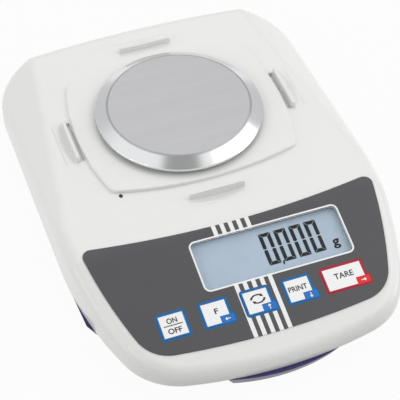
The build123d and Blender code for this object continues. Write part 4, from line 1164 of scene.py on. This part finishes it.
x, v = faceCentre("key_cycle")
cycleCentre = (x + cycleSign["place"][0], v + cycleSign["place"][1])
printShape(
    "legend_cycle", [curvedArrow(cycleCentre, start) for start in cycleSign["starts"]],
    panel["keyTop"], "dark", "key_cycle",
)

# Small index mark on the deck, beside the near left corner of the raised field
indexMark = {"x": -55.2, "y": -6.3, "halfWidth": 1.5, "halfDepth": 1.9}
markCorners = ((-1, 0), (0, -1), (1, 0), (0, 1))
markShape = [
    (indexMark["x"] + x * indexMark["halfWidth"], indexMark["y"] + y * indexMark["halfDepth"])
    for x, y in markCorners
]
deckMatrix = Matrix(((mm, 0, 0, 0), (0, mm, 0, 0), (0, 0, mm, mm * deckZ), (0, 0, 0, 1)))
markMesh = outlineMesh("index_mark", [markShape])
layOnPanel("index_mark", markMesh, 0, "dark", "root", deckMatrix)
print("panel prints laid")


# Floor, world and lamps
floorLook = {
    "size": 6.0, "colour": (178, 178, 178), "glow": 0.96,
    "roughness": 0.9, "grain": 700.0, "mottle": 0.01, "depth": 0.02,
}


def seenDirectly(tree):
    # where the camera, a reflection or a see-through piece looks
    path = tree.nodes.new("ShaderNodeLightPath")
    seen = reckon(tree, "MAXIMUM", path.outputs["Is Camera Ray"], path.outputs["Is Glossy Ray"])
    return reckon(tree, "MAXIMUM", seen, path.outputs["Is Transmission Ray"]), path.outputs["Is Glossy Ray"]


def makeFloor():
    half = floorLook["size"] / 2
    mesh = bpy.data.meshes.new("floor")
    z = min(cadLow.z, 0.0)
    corners = [(x, y, z) for x, y in boxCorners(-half, half, -half, half)]
    mesh.from_pydata(corners, [], [(0, 1, 2, 3)])
    floor = addObject("floor", mesh)
    material, tree, shader = newMaterial("floor_paper", floorLook["roughness"])
    grain, colour = grained(tree, floorLook)
    feed(tree, colour, shader.inputs["Base Color"])
    bump(tree, shader, grain["Height"], floorLook["depth"] * mm)
    glow = tree.nodes.new("ShaderNodeEmission")
    glow.inputs["Color"].default_value = (1, 1, 1, 1)
    seen, glossy = seenDirectly(tree)
    mixer = tree.nodes.new("ShaderNodeMixShader")
    feed(tree, reckon(tree, "MULTIPLY", seen, floorLook["glow"]), mixer.inputs["Fac"])
    feed(tree, shader.outputs["BSDF"], mixer.inputs[1])
    feed(tree, glow.outputs["Emission"], mixer.inputs[2])
    feed(tree, mixer.outputs["Shader"], tree.nodes["Material Output"].inputs["Surface"])
    mesh.materials.append(material)


worldLook = {
    "fill": 0.50, "sideFill": 0.47, "backFill": 0.24,
    "flagTowards": (-0.085, -0.347, 0.936), "flagInner": 0.985, "flagOuter": 0.955, "flagDark": 0.62,
    "lowSky": 0.45, "highSky": 0.72, "lowDim": 0.32,
}


def makeWorld():
    world = bpy.data.worlds.new("studio")
    world.use_nodes = True
    tree = world.node_tree
    backdrop = tree.nodes["Background"]
    backdrop.inputs["Color"].default_value = (1, 1, 1, 1)
    seen, glossy = seenDirectly(tree)
    # what polished metal sees: a pale room with a dark flag over the camera and dimmer sides
    look = worldLook
    towards = tree.nodes.new("ShaderNodeTexCoord").outputs["Generated"]
    aim = reckonVector(tree, "DOT_PRODUCT", towards, look["flagTowards"])
    flag = spread(tree, aim, look["flagOuter"], look["flagInner"], 0.0, look["flagDark"])
    height = tree.nodes.new("ShaderNodeSeparateXYZ")
    feed(tree, towards, height.inputs[0])
    dim = spread(tree, height.outputs["Z"], look["lowSky"], look["highSky"], look["lowDim"], 0.0)
    shade = reckon(tree, "MULTIPLY", glossy, reckon(tree, "MAXIMUM", flag, dim))
    # what the plastic sees: a little more light from the sides and the back than from the front
    aside = reckon(tree, "ABSOLUTE", height.outputs["X"])
    side = reckon(tree, "MULTIPLY_ADD", aside, look["sideFill"], look["fill"])
    around = reckon(tree, "MULTIPLY_ADD", height.outputs["Y"], look["backFill"], side)
    strength = spread(tree, seen, 0.0, 1.0, around, reckon(tree, "SUBTRACT", 1.0, shade))
    feed(tree, strength, backdrop.inputs["Strength"])
    bpy.context.scene.world = world


lamps = {
    "softbox_right": {"place": (1.0, -0.2, 1.05), "size": 1.0, "depth": 1.0, "power": 4.4},
    "softbox_back": {"place": (0.2, 0.9, 1.1), "size": 1.0, "depth": 1.0, "power": 1.8},
    "low_right": {"place": (1.3, -0.3, 0.22), "size": 0.7, "depth": 0.3, "power": 2.2},
    "low_left": {"place": (-1.3, 0.1, 0.3), "size": 0.7, "depth": 0.3, "power": 1.4},
    "strip_left": {"place": (-0.98, -0.32, 0.69), "size": 0.6, "depth": 0.05, "power": 1.0},
}
lampAim = {"ahead": 0.04, "height": 0.03}


def makeLamps():
    aim = Vector((plateX, plateY - lampAim["ahead"], lampAim["height"]))
    for name, look in lamps.items():
        data = bpy.data.lights.new(name, "AREA")
        data.shape = "RECTANGLE"
        data.size = look["size"]
        data.size_y = look["depth"]
        data.energy = look["power"]
        lamp = addObject(name, data)
        place = Vector(look["place"])
        lamp.location = place
        lamp.rotation_euler = (aim - place).to_track_quat("-Z", "Y").to_euler()


makeFloor()
makeWorld()
makeLamps()
bpy.context.scene.view_settings.view_transform = "Standard"
print("floor, world and lamps set")
